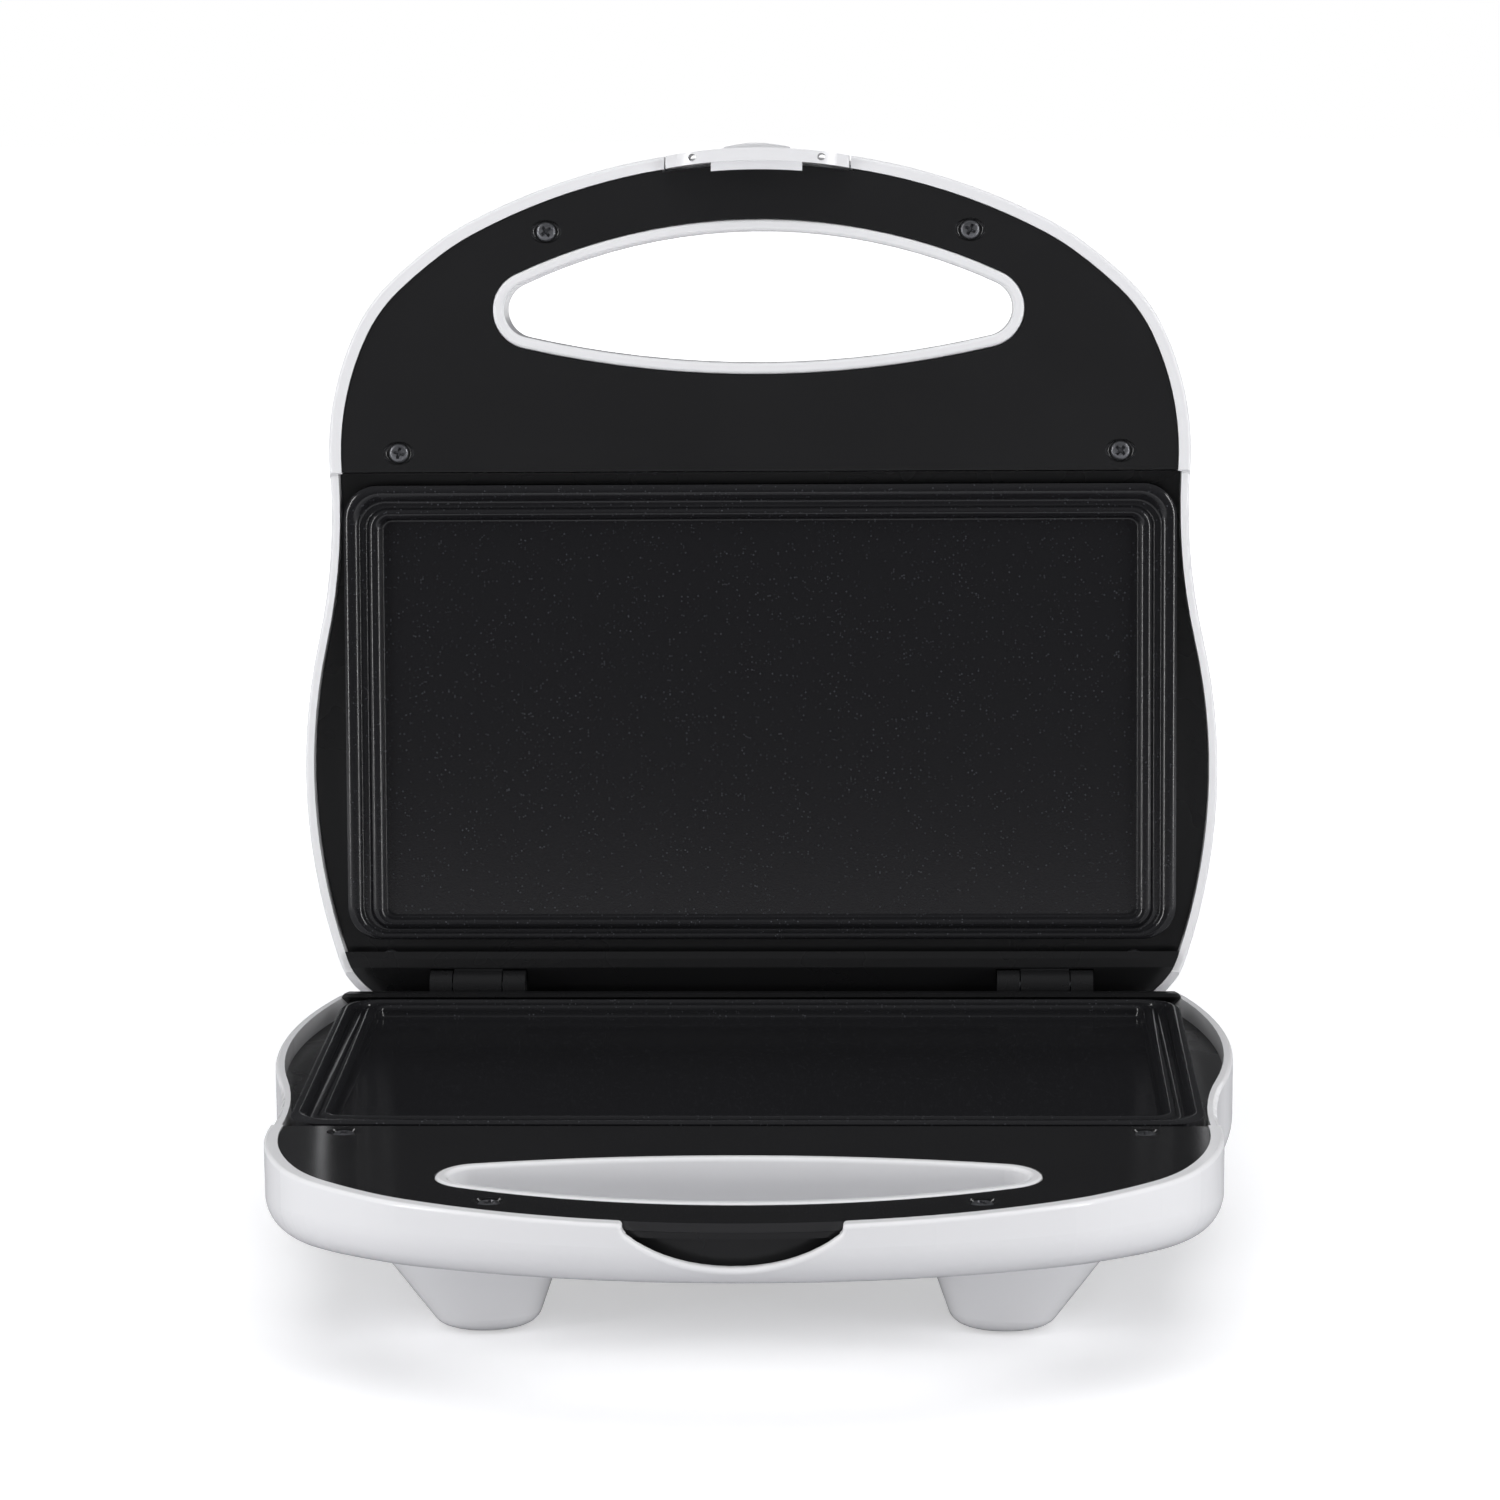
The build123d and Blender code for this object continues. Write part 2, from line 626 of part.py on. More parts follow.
def screws(half, spots, seat, length, toward=1):
    """Pan-head screws: heads on the seat depth, shanks running outward or back inward."""
    with BuildPart() as piece:
        with BuildSketch(half.offset(seat)):
            with Locations(*spots):
                Circle(SCREW_HEAD)
        extrude(amount=-toward * SCREW_HEAD_HEIGHT)
        crests = piece.faces().sort_by(outward(half))
        crests = crests[: len(spots)] if toward > 0 else crests[-len(spots):]
        fillet(crests.edges(), SCREW_HEAD_HEIGHT * 0.6)
        with BuildSketch(half.offset(seat)):
            with Locations(*spots):
                Circle(SCREW_SHANK)
        extrude(amount=toward * length)
    return piece


# Lid casing: notch and cheeks for the latch, holes for the two lenses, bosses for the frame
cheek_spots = [(NOTCH_HALF + CHEEK / 2, LATCH_PIVOT[0]), (-NOTCH_HALF - CHEEK / 2, LATCH_PIVOT[0])]
lens_spots = [(LENS_HALF_SPACING, LENS_V), (-LENS_HALF_SPACING, LENS_V)]
lid_outer = casing_block(lid, LID_PROFILE, 0, 0, LID_ROUND)
with BuildPart() as frame_bosses:
    with BuildSketch(lid.offset(FRAME_TOP + FRAME_THICK + FIT)):
        with Locations(*LID_FRAME_SCREWS):
            Circle(BOSS)
    extrude(amount=REACH)
    add(lid_outer, mode=Mode.INTERSECT)
lid_casing = casing(lid, LID_PROFILE, LID_ROUND, cheek_spots)
with BuildPart() as lid_shell:
    add(lid_casing)
    add(frame_bosses.part)
    with BuildSketch(front_of(lid, RECESS_BACK + 2)):
        with Locations((0, NOTCH_TOP / 2 - 1)):
            Rectangle(2 * NOTCH_HALF, NOTCH_TOP + 2)
    extrude(amount=-REACH / 10, mode=Mode.SUBTRACT)
    with BuildSketch(side_of(lid)):
        with Locations(LATCH_PIVOT):
            Circle(LATCH_PIN + PRESS_PLAY)
    extrude(amount=LATCH_PIN_HALF + FIT, both=True, mode=Mode.SUBTRACT)
    with BuildSketch(lid.offset(LENS_SEAT)):
        with Locations(*lens_spots):
            Circle(LENS + FIT)
    extrude(amount=REACH, mode=Mode.SUBTRACT)
    with BuildSketch(lid.offset(FRAME_TOP)):
        with Locations(*LID_FRAME_SCREWS):
            Circle(SCREW_PILOT)
    extrude(amount=FRAME_THICK + PILOT_DEPTH, mode=Mode.SUBTRACT)
save(lid_shell, "lid_shell")

# Base casing: feet, screw cups, vents, cord hole and the smile-shaped latch recess
base_outer = casing_block(base, BASE_PROFILE, 0, 0, BASE_ROUND)
with BuildPart() as cups:
    with BuildSketch(base.offset(CUP_FLOOR)):
        with Locations(*TOWERS):
            Circle(CUP)
    extrude(amount=REACH)
    add(base_outer, mode=Mode.INTERSECT)
with BuildPart() as foot_group:
    for foot_spot in FEET:
        add(foot_body(foot_spot, 0, FOOT_SOLE_W, FOOT_ROUND))
base_inner = casing_block(base, BASE_PROFILE, WALL, -1, BASE_ROUND - WALL)
with BuildPart() as outside_feet:
    add(foot_group.part)
    add(base_inner, mode=Mode.SUBTRACT)
base_casing = casing(base, BASE_PROFILE, BASE_ROUND)
with BuildPart() as base_shell:
    add(base_casing)
    add(outside_feet.part)
    add(cups.part)
    for foot_spot in FEET:
        add(foot_body(foot_spot, FOOT_WALL, FOOT_SOLE_W - FOOT_WALL, 0), mode=Mode.SUBTRACT)
    with BuildSketch(base.offset(FOOT_SOLE_W - PAD_SINK)):
        with Locations(*FEET):
            Circle(PAD + FIT)
    extrude(amount=REACH, mode=Mode.SUBTRACT)
    with BuildSketch(base.offset(CUP_SINK)):
        with Locations(*TOWERS):
            Circle(CUP_BORE)
    extrude(amount=REACH, mode=Mode.SUBTRACT)
    with BuildSketch(base.offset(CUP_FLOOR - 1)):
        with Locations(*TOWERS):
            Circle(SCREW_PASSAGE)
    extrude(amount=REACH, mode=Mode.SUBTRACT)
    with BuildSketch(base.offset(CUP_SINK)):
        with Locations((0, VENT_MIDDLE)):
            with GridLocations(VENT_PITCH, VENT_LENGTH + VENT_PITCH, 5, 2):
                SlotOverall(VENT_LENGTH, VENT_WIDTH, rotation=90)
    extrude(amount=REACH, mode=Mode.SUBTRACT)
    with BuildSketch(front_of(base, CORD_COLLAR_FRONT)):
        with Locations((CORD_X, CORD_W)):
            Circle(CORD_COLLAR)
    extrude(amount=CORD_COLLAR_FRONT - CORD_COLLAR_REAR)
    with BuildSketch(front_of(base, 0)):
        with Locations((CORD_X, CORD_W)):
            Circle(CORD_BORE)
    extrude(amount=REACH / 10, mode=Mode.SUBTRACT)
    with BuildSketch(front_of(base, RECESS_BACK)):
        add(smile_face(RECESS_HALF, RECESS_SIDE, RECESS_SHOULDER, RECESS_FOOT, -2))
    extrude(amount=-REACH / 10, mode=Mode.SUBTRACT)
    mouth = []
    for edge in base_shell.edges():
        middle = base.to_local_coords(edge @ 0.5)
        across = abs(middle.X) < RECESS_HALF + SEAT
        if across and middle.Y > RECESS_MOUTH and GAP + SEAT < middle.Z < RECESS_FOOT + SEAT:
            mouth.append(edge)
    fillet(mouth, MOUTH_ROUND)
save(base_shell, "base_shell")

# Frames, covers, plates, elements, clamps and trays: the same for both halves
base_frame = frame(base, base_knuckles, KNUCKLE_BASE, lid_knuckles, KNUCKLE_LID,
                   HINGE_PIN + PRESS_PLAY, towers=TOWERS)
save(base_frame, "base_frame")
lid_frame = frame(lid, lid_knuckles, KNUCKLE_LID, base_knuckles, KNUCKLE_BASE,
                  HINGE_PIN + TURN_PLAY, screws=LID_FRAME_SCREWS)
save(lid_frame, "lid_frame")
thermostat_spot = (0, THERMOSTAT_V)
for half, name in ((base, "base"), (lid, "lid")):
    save(cover(half), f"{name}_handle_cover")
    save(plate(half), f"{name}_plate")
    save(element(half), f"{name}_element")
    save(clamps(half), f"{name}_element_clamps")
    save(tray(half, thermostat_spot if name == "lid" else None), f"{name}_reflector")
    save(screws(half, COVER_SCREWS, COVER_TOP + DIMPLE_DEPTH, COVER_SCREW_LENGTH), f"{name}_cover_screws")
    post_seat = TRAY_FLOOR + TRAY_SHEET + SEAT
    save(screws(half, POSTS, post_seat, POST_SCREW_LENGTH, toward=-1), f"{name}_plate_screws")
save(screws(base, TOWERS, CUP_SINK + SEAT, BOTTOM_SCREW_LENGTH, toward=-1), "base_bottom_screws")
save(screws(lid, LID_FRAME_SCREWS, FRAME_TOP, COVER_SCREW_LENGTH), "lid_frame_screws")

# Hinge pins, pressed into the base's lugs
with BuildPart() as hinge_pins:
    for side in (-1, 1):
        pin_half = lug_offset + KNUCKLE_BASE / 2 - FIT
        with BuildSketch(side_of(base).offset(side * KNUCKLE_MIDDLE)):
            Circle(HINGE_PIN)
        extrude(amount=pin_half, both=True)
save(hinge_pins, "hinge_pins")

# Latch: curved bar that follows the outline, barrel on its pin, hook and thumb ridge
with BuildPart() as latch_bar:
    with BuildSketch(lid.offset(LATCH_FOOT - 1)):
        add(outline_face(0))
        add(outline_face(LATCH_THICK), mode=Mode.SUBTRACT)
    extrude(amount=LATCH_TOP - LATCH_FOOT + 2)
    with BuildSketch(front_of(lid, RECESS_BACK)):
        add(smile_face(LATCH_HALF, LATCH_SIDE, LATCH_SHOULDER, LATCH_FOOT, LATCH_TOP))
    extrude(amount=-REACH / 10, mode=Mode.INTERSECT)
with BuildPart() as thumb_ridge:
    with BuildSketch(front_of(lid, RECESS_BACK)):
        with Locations((0, THUMB_W)):
            SlotOverall(2 * THUMB_ACROSS, 2 * THUMB_TALL)
    extrude(amount=-REACH / 10)
    with BuildSketch(lid.offset(THUMB_W - THUMB_TALL)):
        with BuildLine():
            Line((-THUMB_ACROSS, FRONT_V - 2), (-THUMB_ACROSS + 1.5, THUMB_END))
            ThreePointArc((-THUMB_ACROSS + 1.5, THUMB_END), (0, THUMB_FRONT), (THUMB_ACROSS - 1.5, THUMB_END))
            Line((THUMB_ACROSS - 1.5, THUMB_END), (THUMB_ACROSS, FRONT_V - 2))
            Line((THUMB_ACROSS, FRONT_V - 2), (-THUMB_ACROSS, FRONT_V - 2))
        make_face()
    extrude(amount=2 * THUMB_TALL, mode=Mode.INTERSECT)
with BuildPart() as latch:
    add(latch_bar.part)
    add(thumb_ridge.part)
    with BuildSketch(side_of(lid)):
        with Locations(LATCH_PIVOT):
            Circle(LATCH_BARREL)
            Rectangle(LATCH_THICK, 2 * LATCH_BARREL - 1, align=(Align.MIN, Align.CENTER))
    extrude(amount=LATCH_HALF, both=True)
    with BuildSketch(lid.offset(HOOK_FOOT)):
        add(latch_band(HOOK_INSET, HOOK_HALF))
        add(latch_band(LATCH_THICK - 1, HOOK_HALF + 1), mode=Mode.SUBTRACT)
    extrude(amount=HOOK_TOP - HOOK_FOOT)
    with BuildSketch(lid.offset(LATCH_FOOT)):
        with Locations(*EYE_SPOTS):
            Circle(EYE)
    extrude(amount=REACH / 10, mode=Mode.SUBTRACT)
    with BuildSketch(side_of(lid)):
        with Locations(LATCH_PIVOT):
            Circle(LATCH_PIN + TURN_PLAY)
    extrude(amount=LATCH_HALF + 1, both=True, mode=Mode.SUBTRACT)
save(latch, "latch")

with BuildPart() as latch_pin:
    with BuildSketch(side_of(lid)):
        with Locations(LATCH_PIVOT):
            Circle(LATCH_PIN)
    extrude(amount=LATCH_PIN_HALF, both=True)
save(latch_pin, "latch_pin")

# Catch behind the recess: an upper lip that the hook goes under
catch_room = casing_block(base, BASE_PROFILE, WALL + FIT, -1, BASE_ROUND - WALL - FIT)
with BuildPart() as latch_catch:
    for inset, top, foot in ((CATCH_FACE, COVER_TOP + COVER_THICK + SEAT, CATCH_LEDGE),
                             (CATCH_UNDERCUT, CATCH_LEDGE, CATCH_FOOT)):
        with BuildSketch(base.offset(top)):
            add(outline_face(inset, rear=CATCH_REAR))
            with Locations((0, CATCH_REAR)):
                Rectangle(2 * CATCH_HALF, 30, mode=Mode.INTERSECT)
        extrude(amount=foot - top)
    add(catch_room, mode=Mode.INTERSECT)
save(latch_catch, "latch_catch")

# Foot pads
with BuildPart() as foot_pads:
    with BuildSketch(base.offset(FOOT_SOLE_W - PAD_SINK)):
        with Locations(*FEET):
            Circle(PAD)
    extrude(amount=PAD_THICK)
    fillet(foot_pads.faces().sort_by(Axis.Z)[:4].edges(), PAD_THICK / 4)
save(foot_pads, "foot_pads")

# Indicator lenses and the lamps behind them
for name, spot in zip(("power_lens", "ready_lens"), lens_spots):
    with BuildPart() as lens:
        with BuildSketch(lid.offset(LENS_SEAT - LENS_FLANGE_THICK)):
            with Locations(spot):
                Circle(LENS_FLANGE)
        extrude(amount=LENS_FLANGE_THICK)
        with BuildSketch(lid.offset(LENS_SEAT)):
            with Locations(spot):
                Circle(LENS)
        extrude(amount=LENS_HEIGHT - LENS_SEAT)
        fillet(lens.faces().sort_by(outward(lid))[-1].edges(), 0.8)
    save(lens, name)
with BuildPart() as indicator_lamps:
    with BuildSketch(lid.offset(TRAY_FLOOR + TRAY_SHEET + SEAT)):
        with Locations(*lens_spots):
            Circle(LAMP)
    extrude(amount=LAMP_TOP - TRAY_FLOOR - TRAY_SHEET - SEAT)
    fillet(indicator_lamps.faces().sort_by(outward(lid))[-2:].edges(), LAMP * 0.8)
save(indicator_lamps, "indicator_lamps")

# Thermostat on the lid's plate and thermal fuse on its tray
with BuildPart() as thermostat:
    level = PLATE_BOTTOM + SEAT
    for radius, height in THERMOSTAT_STEPS:
        with BuildSketch(lid.offset(level)):
            with Locations(thermostat_spot):
                Circle(radius)
        extrude(amount=height)
        level += height
    with BuildSketch(lid.offset(level)):
        with Locations(thermostat_spot):
            with GridLocations(TERMINAL_TAB[2], 1, 2, 1):
                Rectangle(TERMINAL_TAB[0], TERMINAL_TAB[1])
    extrude(amount=TERMINAL_TAB[1])
save(thermostat, "thermostat")

fuse_w = TRAY_FLOOR + TRAY_SHEET + FUSE + SEAT
fuse_plane = side_of(lid).offset(FUSE_SPOT[0])
with BuildPart() as thermal_fuse:
    for radius, length in ((FUSE, FUSE_LENGTH), (FUSE_LEAD, FUSE_LEAD_LENGTH)):
        with BuildSketch(fuse_plane):
            with Locations((FUSE_SPOT[1], fuse_w)):
                Circle(radius)
        extrude(amount=length / 2, both=True)
save(thermal_fuse, "thermal_fuse")

# Terminal block on the base's floor, beside the cord hole
block_w = BASE_PROFILE[-1][1] - WALL - TERMINAL_SIZE[2] - SEAT
with BuildPart() as terminal_block:
    with BuildSketch(base.offset(block_w)):
        with Locations(TERMINAL_SPOT):
            Rectangle(TERMINAL_SIZE[0], TERMINAL_SIZE[1])
    extrude(amount=TERMINAL_SIZE[2])
    with BuildSketch(base.offset(block_w)):
        with Locations(TERMINAL_SPOT):
            with GridLocations(TERMINAL_SIZE[0] / 3, 1, 3, 1):
                Circle(TERMINAL_WELL[0])
    extrude(amount=TERMINAL_WELL[1], mode=Mode.SUBTRACT)
save(terminal_block, "terminal_block")
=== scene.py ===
"""Open sandwich maker: finishes, cast plates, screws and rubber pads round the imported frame."""
import json
import logging
import math
from dataclasses import dataclass, field
from enum import Enum

import bmesh
import bpy
from mathutils import Matrix, Vector


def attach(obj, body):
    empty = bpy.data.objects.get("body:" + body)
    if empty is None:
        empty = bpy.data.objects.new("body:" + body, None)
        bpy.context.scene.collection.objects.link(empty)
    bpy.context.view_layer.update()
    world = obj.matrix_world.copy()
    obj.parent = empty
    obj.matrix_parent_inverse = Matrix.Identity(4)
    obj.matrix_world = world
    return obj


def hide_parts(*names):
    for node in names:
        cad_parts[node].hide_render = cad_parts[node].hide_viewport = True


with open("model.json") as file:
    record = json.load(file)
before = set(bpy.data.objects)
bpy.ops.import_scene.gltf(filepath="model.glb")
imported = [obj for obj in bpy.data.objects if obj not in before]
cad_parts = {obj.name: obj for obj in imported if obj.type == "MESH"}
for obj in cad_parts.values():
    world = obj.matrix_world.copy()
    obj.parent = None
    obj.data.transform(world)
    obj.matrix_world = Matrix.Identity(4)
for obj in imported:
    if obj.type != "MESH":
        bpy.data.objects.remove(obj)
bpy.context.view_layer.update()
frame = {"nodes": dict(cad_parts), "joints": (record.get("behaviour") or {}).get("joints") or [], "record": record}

log = logging.getLogger("sandwich_maker")

MM = 0.001
# The Mix node's sockets share their names, so they go by number.
COLOUR_LOW, COLOUR_HIGH, COLOUR_OUT = 6, 7, 2
FLOAT_LOW, FLOAT_HIGH = 2, 3


def linear(code: str) -> tuple[float, float, float, float]:
    """Turn an sRGB hex colour into the linear colour that shaders take, by the standard's own curve.

    Args:
        code: Six hex digits after a hash.

    Returns:
        Red, green, blue and alpha.
    """
    parts = [int(code[i:i + 2], 16) / 255 for i in (1, 3, 5)]
    return tuple(c / 12.92 if c <= 0.04045 else ((c + 0.055) / 1.055) ** 2.4 for c in parts) + (1.0,)


def add_node(tree: bpy.types.NodeTree, kind: str, settings: dict | None = None,
             links: dict | None = None) -> bpy.types.Node:
    """Add a node with its settings and its incoming links.

    Args:
        tree: Tree that gets the node.
        kind: Blender's name of the node's type.
        settings: Values for the node's own properties or, by name or number, its input sockets.
        links: For an input's name or number, the socket that feeds it.

    Returns:
        The new node.
    """
    node = tree.nodes.new(kind)
    for key, value in (settings or {}).items():
        if isinstance(key, str) and hasattr(node, key):
            setattr(node, key, value)
        else:
            node.inputs[key].default_value = value
    for key, source in (links or {}).items():
        tree.links.new(source, node.inputs[key])
    return node


class Slot(Enum):
    """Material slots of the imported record."""

    WHITE_SHELL = "white_shell"
    BLACK_COVER = "black_cover"
    BLACK_FRAME = "black_frame"
    NON_STICK = "non_stick"
    DARK_SCREW = "dark_screw"
    BRIGHT_STEEL = "bright_steel"
    ELEMENT_STEEL = "element_steel"
    TRAY_METAL = "tray_metal"
    PAD_RUBBER = "pad_rubber"
    RED_LENS = "red_lens"
    GREEN_LENS = "green_lens"
    LAMP_GLASS = "lamp_glass"
    CERAMIC = "ceramic"


@dataclass(frozen=True)
class Ramp:
    """Straight rise of one value over another, held level outside it."""

    start: float
    end: float
    low: float = 0.0
    high: float = 1.0

    def settings(self) -> dict[str, float]:
        """Return the ramp as the settings of a Map Range node."""
        return {"From Min": self.start, "From Max": self.end, "To Min": self.low, "To Max": self.high}


@dataclass(frozen=True)
class Finish:
    """Base of all finishes: one principled surface with its typical values.

    Sizes of patterns are in millimetres of the real surface. The mottle darkens the colour by its share,
    and spreads the roughness between two multiples of its own value.
    """

    name: str
    colour: str
    roughness: float
    ior: float = 1.5
    metallic: float = 0.0
    transmission: float = 0.0
    grain_mm: float = 0.6
    grain_depth_mm: float = 0.01
    grain_detail: float = 2.0
    mottle_mm: float = 30.0
    mottle_detail: float = 3.0
    mottle: float = 0.04
    roughest: float = 1.15
    smoothest: float = 0.9

    def surface(self, tree: bpy.types.NodeTree) -> bpy.types.Node:
        """Add the principled shader with the constant values on its own sockets.

        Args:
            tree: The material's tree.

        Returns:
            The shader.
        """
        settings = {
            "Base Color": linear(self.colour),
            "Roughness": self.roughness,
            "Metallic": self.metallic,
            "Transmission Weight": self.transmission,
        }
        if not self.metallic:
            settings["IOR"] = self.ior
        return add_node(tree, "ShaderNodeBsdfPrincipled", settings)

    def coordinates(self, tree: bpy.types.NodeTree) -> bpy.types.NodeSocket:
        """Add the object coordinates that every pattern reads."""
        return add_node(tree, "ShaderNodeTexCoord").outputs["Object"]

    def grain(self, tree: bpy.types.NodeTree, where: bpy.types.NodeSocket) -> bpy.types.NodeSocket:
        """Add the fine pattern of the surface.

        Args:
            tree: The material's tree.
            where: Coordinates that the pattern reads.

        Returns:
            The pattern's height.
        """
        noise = add_node(tree, "ShaderNodeTexNoise",
                         {"Scale": 1 / (self.grain_mm * MM), "Detail": self.grain_detail}, {"Vector": where})
        return noise.outputs["Fac"]

    def relief(self, tree: bpy.types.NodeTree, where: bpy.types.NodeSocket, surface: bpy.types.Node) -> None:
        """Raise the grain on the surface.

        Args:
            tree: The material's tree.
            where: Coordinates that the pattern reads.
            surface: The principled shader.
        """
        bump = add_node(tree, "ShaderNodeBump", {"Distance": self.grain_depth_mm * MM, "Strength": 1.0},
                        {"Height": self.grain(tree, where)})
        tree.links.new(bump.outputs["Normal"], surface.inputs["Normal"])

    def dress(self, tree: bpy.types.NodeTree, surface: bpy.types.Node) -> None:
        """Add the pattern that the finish has: a faint mottle in colour and gloss, and the grain.

        Args:
            tree: The material's tree.
            surface: Its principled shader.
        """
        where = self.coordinates(tree)
        full = linear(self.colour)
        dark = tuple(c * (1 - self.mottle) for c in full[:3]) + (1.0,)
        mottle = add_node(tree, "ShaderNodeTexNoise",
                          {"Scale": 1 / (self.mottle_mm * MM), "Detail": self.mottle_detail},
                          {"Vector": where})
        tone = add_node(tree, "ShaderNodeMix", {"data_type": "RGBA", COLOUR_LOW: dark, COLOUR_HIGH: full},
                        {0: mottle.outputs["Fac"]})
        tree.links.new(tone.outputs[COLOUR_OUT], surface.inputs["Base Color"])
        gloss = add_node(tree, "ShaderNodeMapRange", {"To Min": self.roughness * self.smoothest,
                                                      "To Max": self.roughness * self.roughest},
                         {"Value": mottle.outputs["Fac"]})
        tree.links.new(gloss.outputs[0], surface.inputs["Roughness"])
        self.relief(tree, where, surface)

    def build(self) -> bpy.types.Material:
        """Make the material.

        Returns:
            The finished material.
        """
        material = bpy.data.materials.new(self.name)
        material.use_nodes = True
        tree = material.node_tree
        tree.nodes.clear()
        surface = self.surface(tree)
        self.dress(tree, surface)
        add_node(tree, "ShaderNodeOutputMaterial", links={"Surface": surface.outputs[0]})
        return material


@dataclass(frozen=True)
class NonStickCoating(Finish):
    """Sprayed and baked non-stick coat on cast aluminium, with fine mica flecks in it.

    A fleck sits in some of the cells of a pattern, strongest at the cell's middle.
    """

    fleck_mm: float = 0.55
    fleck_colour: str = "#63656B"
    fleck_share: float = 0.10
    fleck_rise: Ramp = Ramp(0.45, 0.15, high=0.55)

    def dress(self, tree: bpy.types.NodeTree, surface: bpy.types.Node) -> None:
        """Add the flecks and the orange-peel relief of the sprayed coat.

        Args:
            tree: The material's tree.
            surface: Its principled shader.
        """
        where = self.coordinates(tree)
        cells = add_node(tree, "ShaderNodeTexVoronoi", {"Scale": 1 / (self.fleck_mm * MM)}, {"Vector": where})
        pick = add_node(tree, "ShaderNodeSeparateColor", links={0: cells.outputs["Color"]})
        chosen = add_node(tree, "ShaderNodeMath", {"operation": "LESS_THAN", 1: self.fleck_share},
                          {0: pick.outputs[0]})
        near = add_node(tree, "ShaderNodeMapRange", self.fleck_rise.settings(),
                        {"Value": cells.outputs["Distance"]})
        fleck = add_node(tree, "ShaderNodeMath", {"operation": "MULTIPLY"},
                         {0: chosen.outputs[0], 1: near.outputs[0]})
        bright = add_node(tree, "ShaderNodeMath", {"operation": "MULTIPLY"},
                          {0: fleck.outputs[0], 1: pick.outputs[1]})
        tone = add_node(tree, "ShaderNodeMix", {"data_type": "RGBA", COLOUR_LOW: linear(self.colour),
                                                COLOUR_HIGH: linear(self.fleck_colour)},
                        {0: bright.outputs[0]})
        tree.links.new(tone.outputs[COLOUR_OUT], surface.inputs["Base Color"])
        self.relief(tree, where, surface)


@dataclass(frozen=True)
class DrawnMetal(Finish):
    """Bare or plated metal with faint drawing lines along one axis."""

    stretch: tuple[float, float, float] = (1.0, 1.0, 0.05)

    def grain(self, tree: bpy.types.NodeTree, where: bpy.types.NodeSocket) -> bpy.types.NodeSocket:
        """Add long thin lines in place of an even grain.

        Args:
            tree: The material's tree.
            where: Coordinates that the pattern reads.

        Returns:
            The pattern's height.
        """
        scaled = add_node(tree, "ShaderNodeMapping", {"Scale": self.stretch}, {"Vector": where})
        return super().grain(tree, scaled.outputs[0])


FINISHES = {
    # Injection-moulded glossy polypropylene: bright, with a faint ripple that softens reflections.
    Slot.WHITE_SHELL: Finish("glossy_polypropylene", "#F2F2F4", 0.16, ior=1.49, grain_mm=9.0,
                             grain_depth_mm=0.015, mottle_mm=60.0, mottle=0.015),
    # Compression-moulded phenolic, polished mould: deep black mirror with soft edges.
    Slot.BLACK_COVER: Finish("polished_phenolic", "#272728", 0.13, ior=1.5, grain_mm=12.0,
                             grain_depth_mm=0.012, mottle_mm=40.0, mottle=0.2),
    # Phenolic from a spark-eroded mould: fine matt grain about half a millimetre across.
    Slot.BLACK_FRAME: Finish("satin_phenolic", "#1D1D1E", 0.27, ior=1.45, grain_mm=0.5,
                             grain_depth_mm=0.015, mottle=0.12),
    # Non-stick coat: near black, silky, with mica flecks drawn coarse enough to show.
    Slot.NON_STICK: NonStickCoating("non_stick_coating", "#1D1D1F", 0.15, ior=1.5, grain_mm=0.45,
                                    grain_depth_mm=0.008),
    # Blackened steel screws: dark grey oxide with a soft metallic sheen.
    Slot.DARK_SCREW: Finish("blackened_steel", "#85868A", 0.38, metallic=0.9, grain_mm=0.3,
                            grain_depth_mm=0.01),
    # Zinc-plated steel: cool bright grey, slightly cloudy.
    Slot.BRIGHT_STEEL: DrawnMetal("zinc_plated_steel", "#B9BCC0", 0.28, metallic=1.0, grain_mm=0.4,
                                  grain_depth_mm=0.006),
    # Stainless sheath that has been hot: brownish straw oxide.
    Slot.ELEMENT_STEEL: DrawnMetal("oxidised_stainless_sheath", "#6E625A", 0.4, metallic=1.0,
                                   grain_mm=0.5, grain_depth_mm=0.01, mottle_mm=12.0, mottle=0.35),
    # Hot-dip aluminised sheet: pale grey with a soft spangle.
    Slot.TRAY_METAL: DrawnMetal("aluminised_sheet", "#C7C9CC", 0.32, metallic=1.0, mottle_mm=8.0,
                                mottle=0.12),
    # Moulded elastomer: flat mid grey, grippy, no gloss.
    Slot.PAD_RUBBER: Finish("soft_rubber", "#6B6B6B", 0.75, ior=1.52, grain_mm=0.3, grain_depth_mm=0.03,
                            mottle=0.1),
    # Tinted polycarbonate, moulded and polished: deep colour, half clear, sharp gloss.
    Slot.RED_LENS: Finish("red_polycarbonate", "#B4161C", 0.06, ior=1.58, transmission=0.6,
                          grain_depth_mm=0.002),
    Slot.GREEN_LENS: Finish("green_polycarbonate", "#1E9A3E", 0.06, ior=1.58, transmission=0.6,
                            grain_depth_mm=0.002),
    # Blown glass of the lamps: clear and faintly warm.
    Slot.LAMP_GLASS: Finish("lamp_glass", "#F3EDE2", 0.03, ior=1.5, transmission=0.9,
                            grain_depth_mm=0.001),
    # Pressed and fired steatite without a glaze: off-white, chalky.
    Slot.CERAMIC: Finish("steatite", "#D9D4C6", 0.6, ior=1.55, grain_mm=0.3, grain_depth_mm=0.02,
                         mottle=0.08),
}


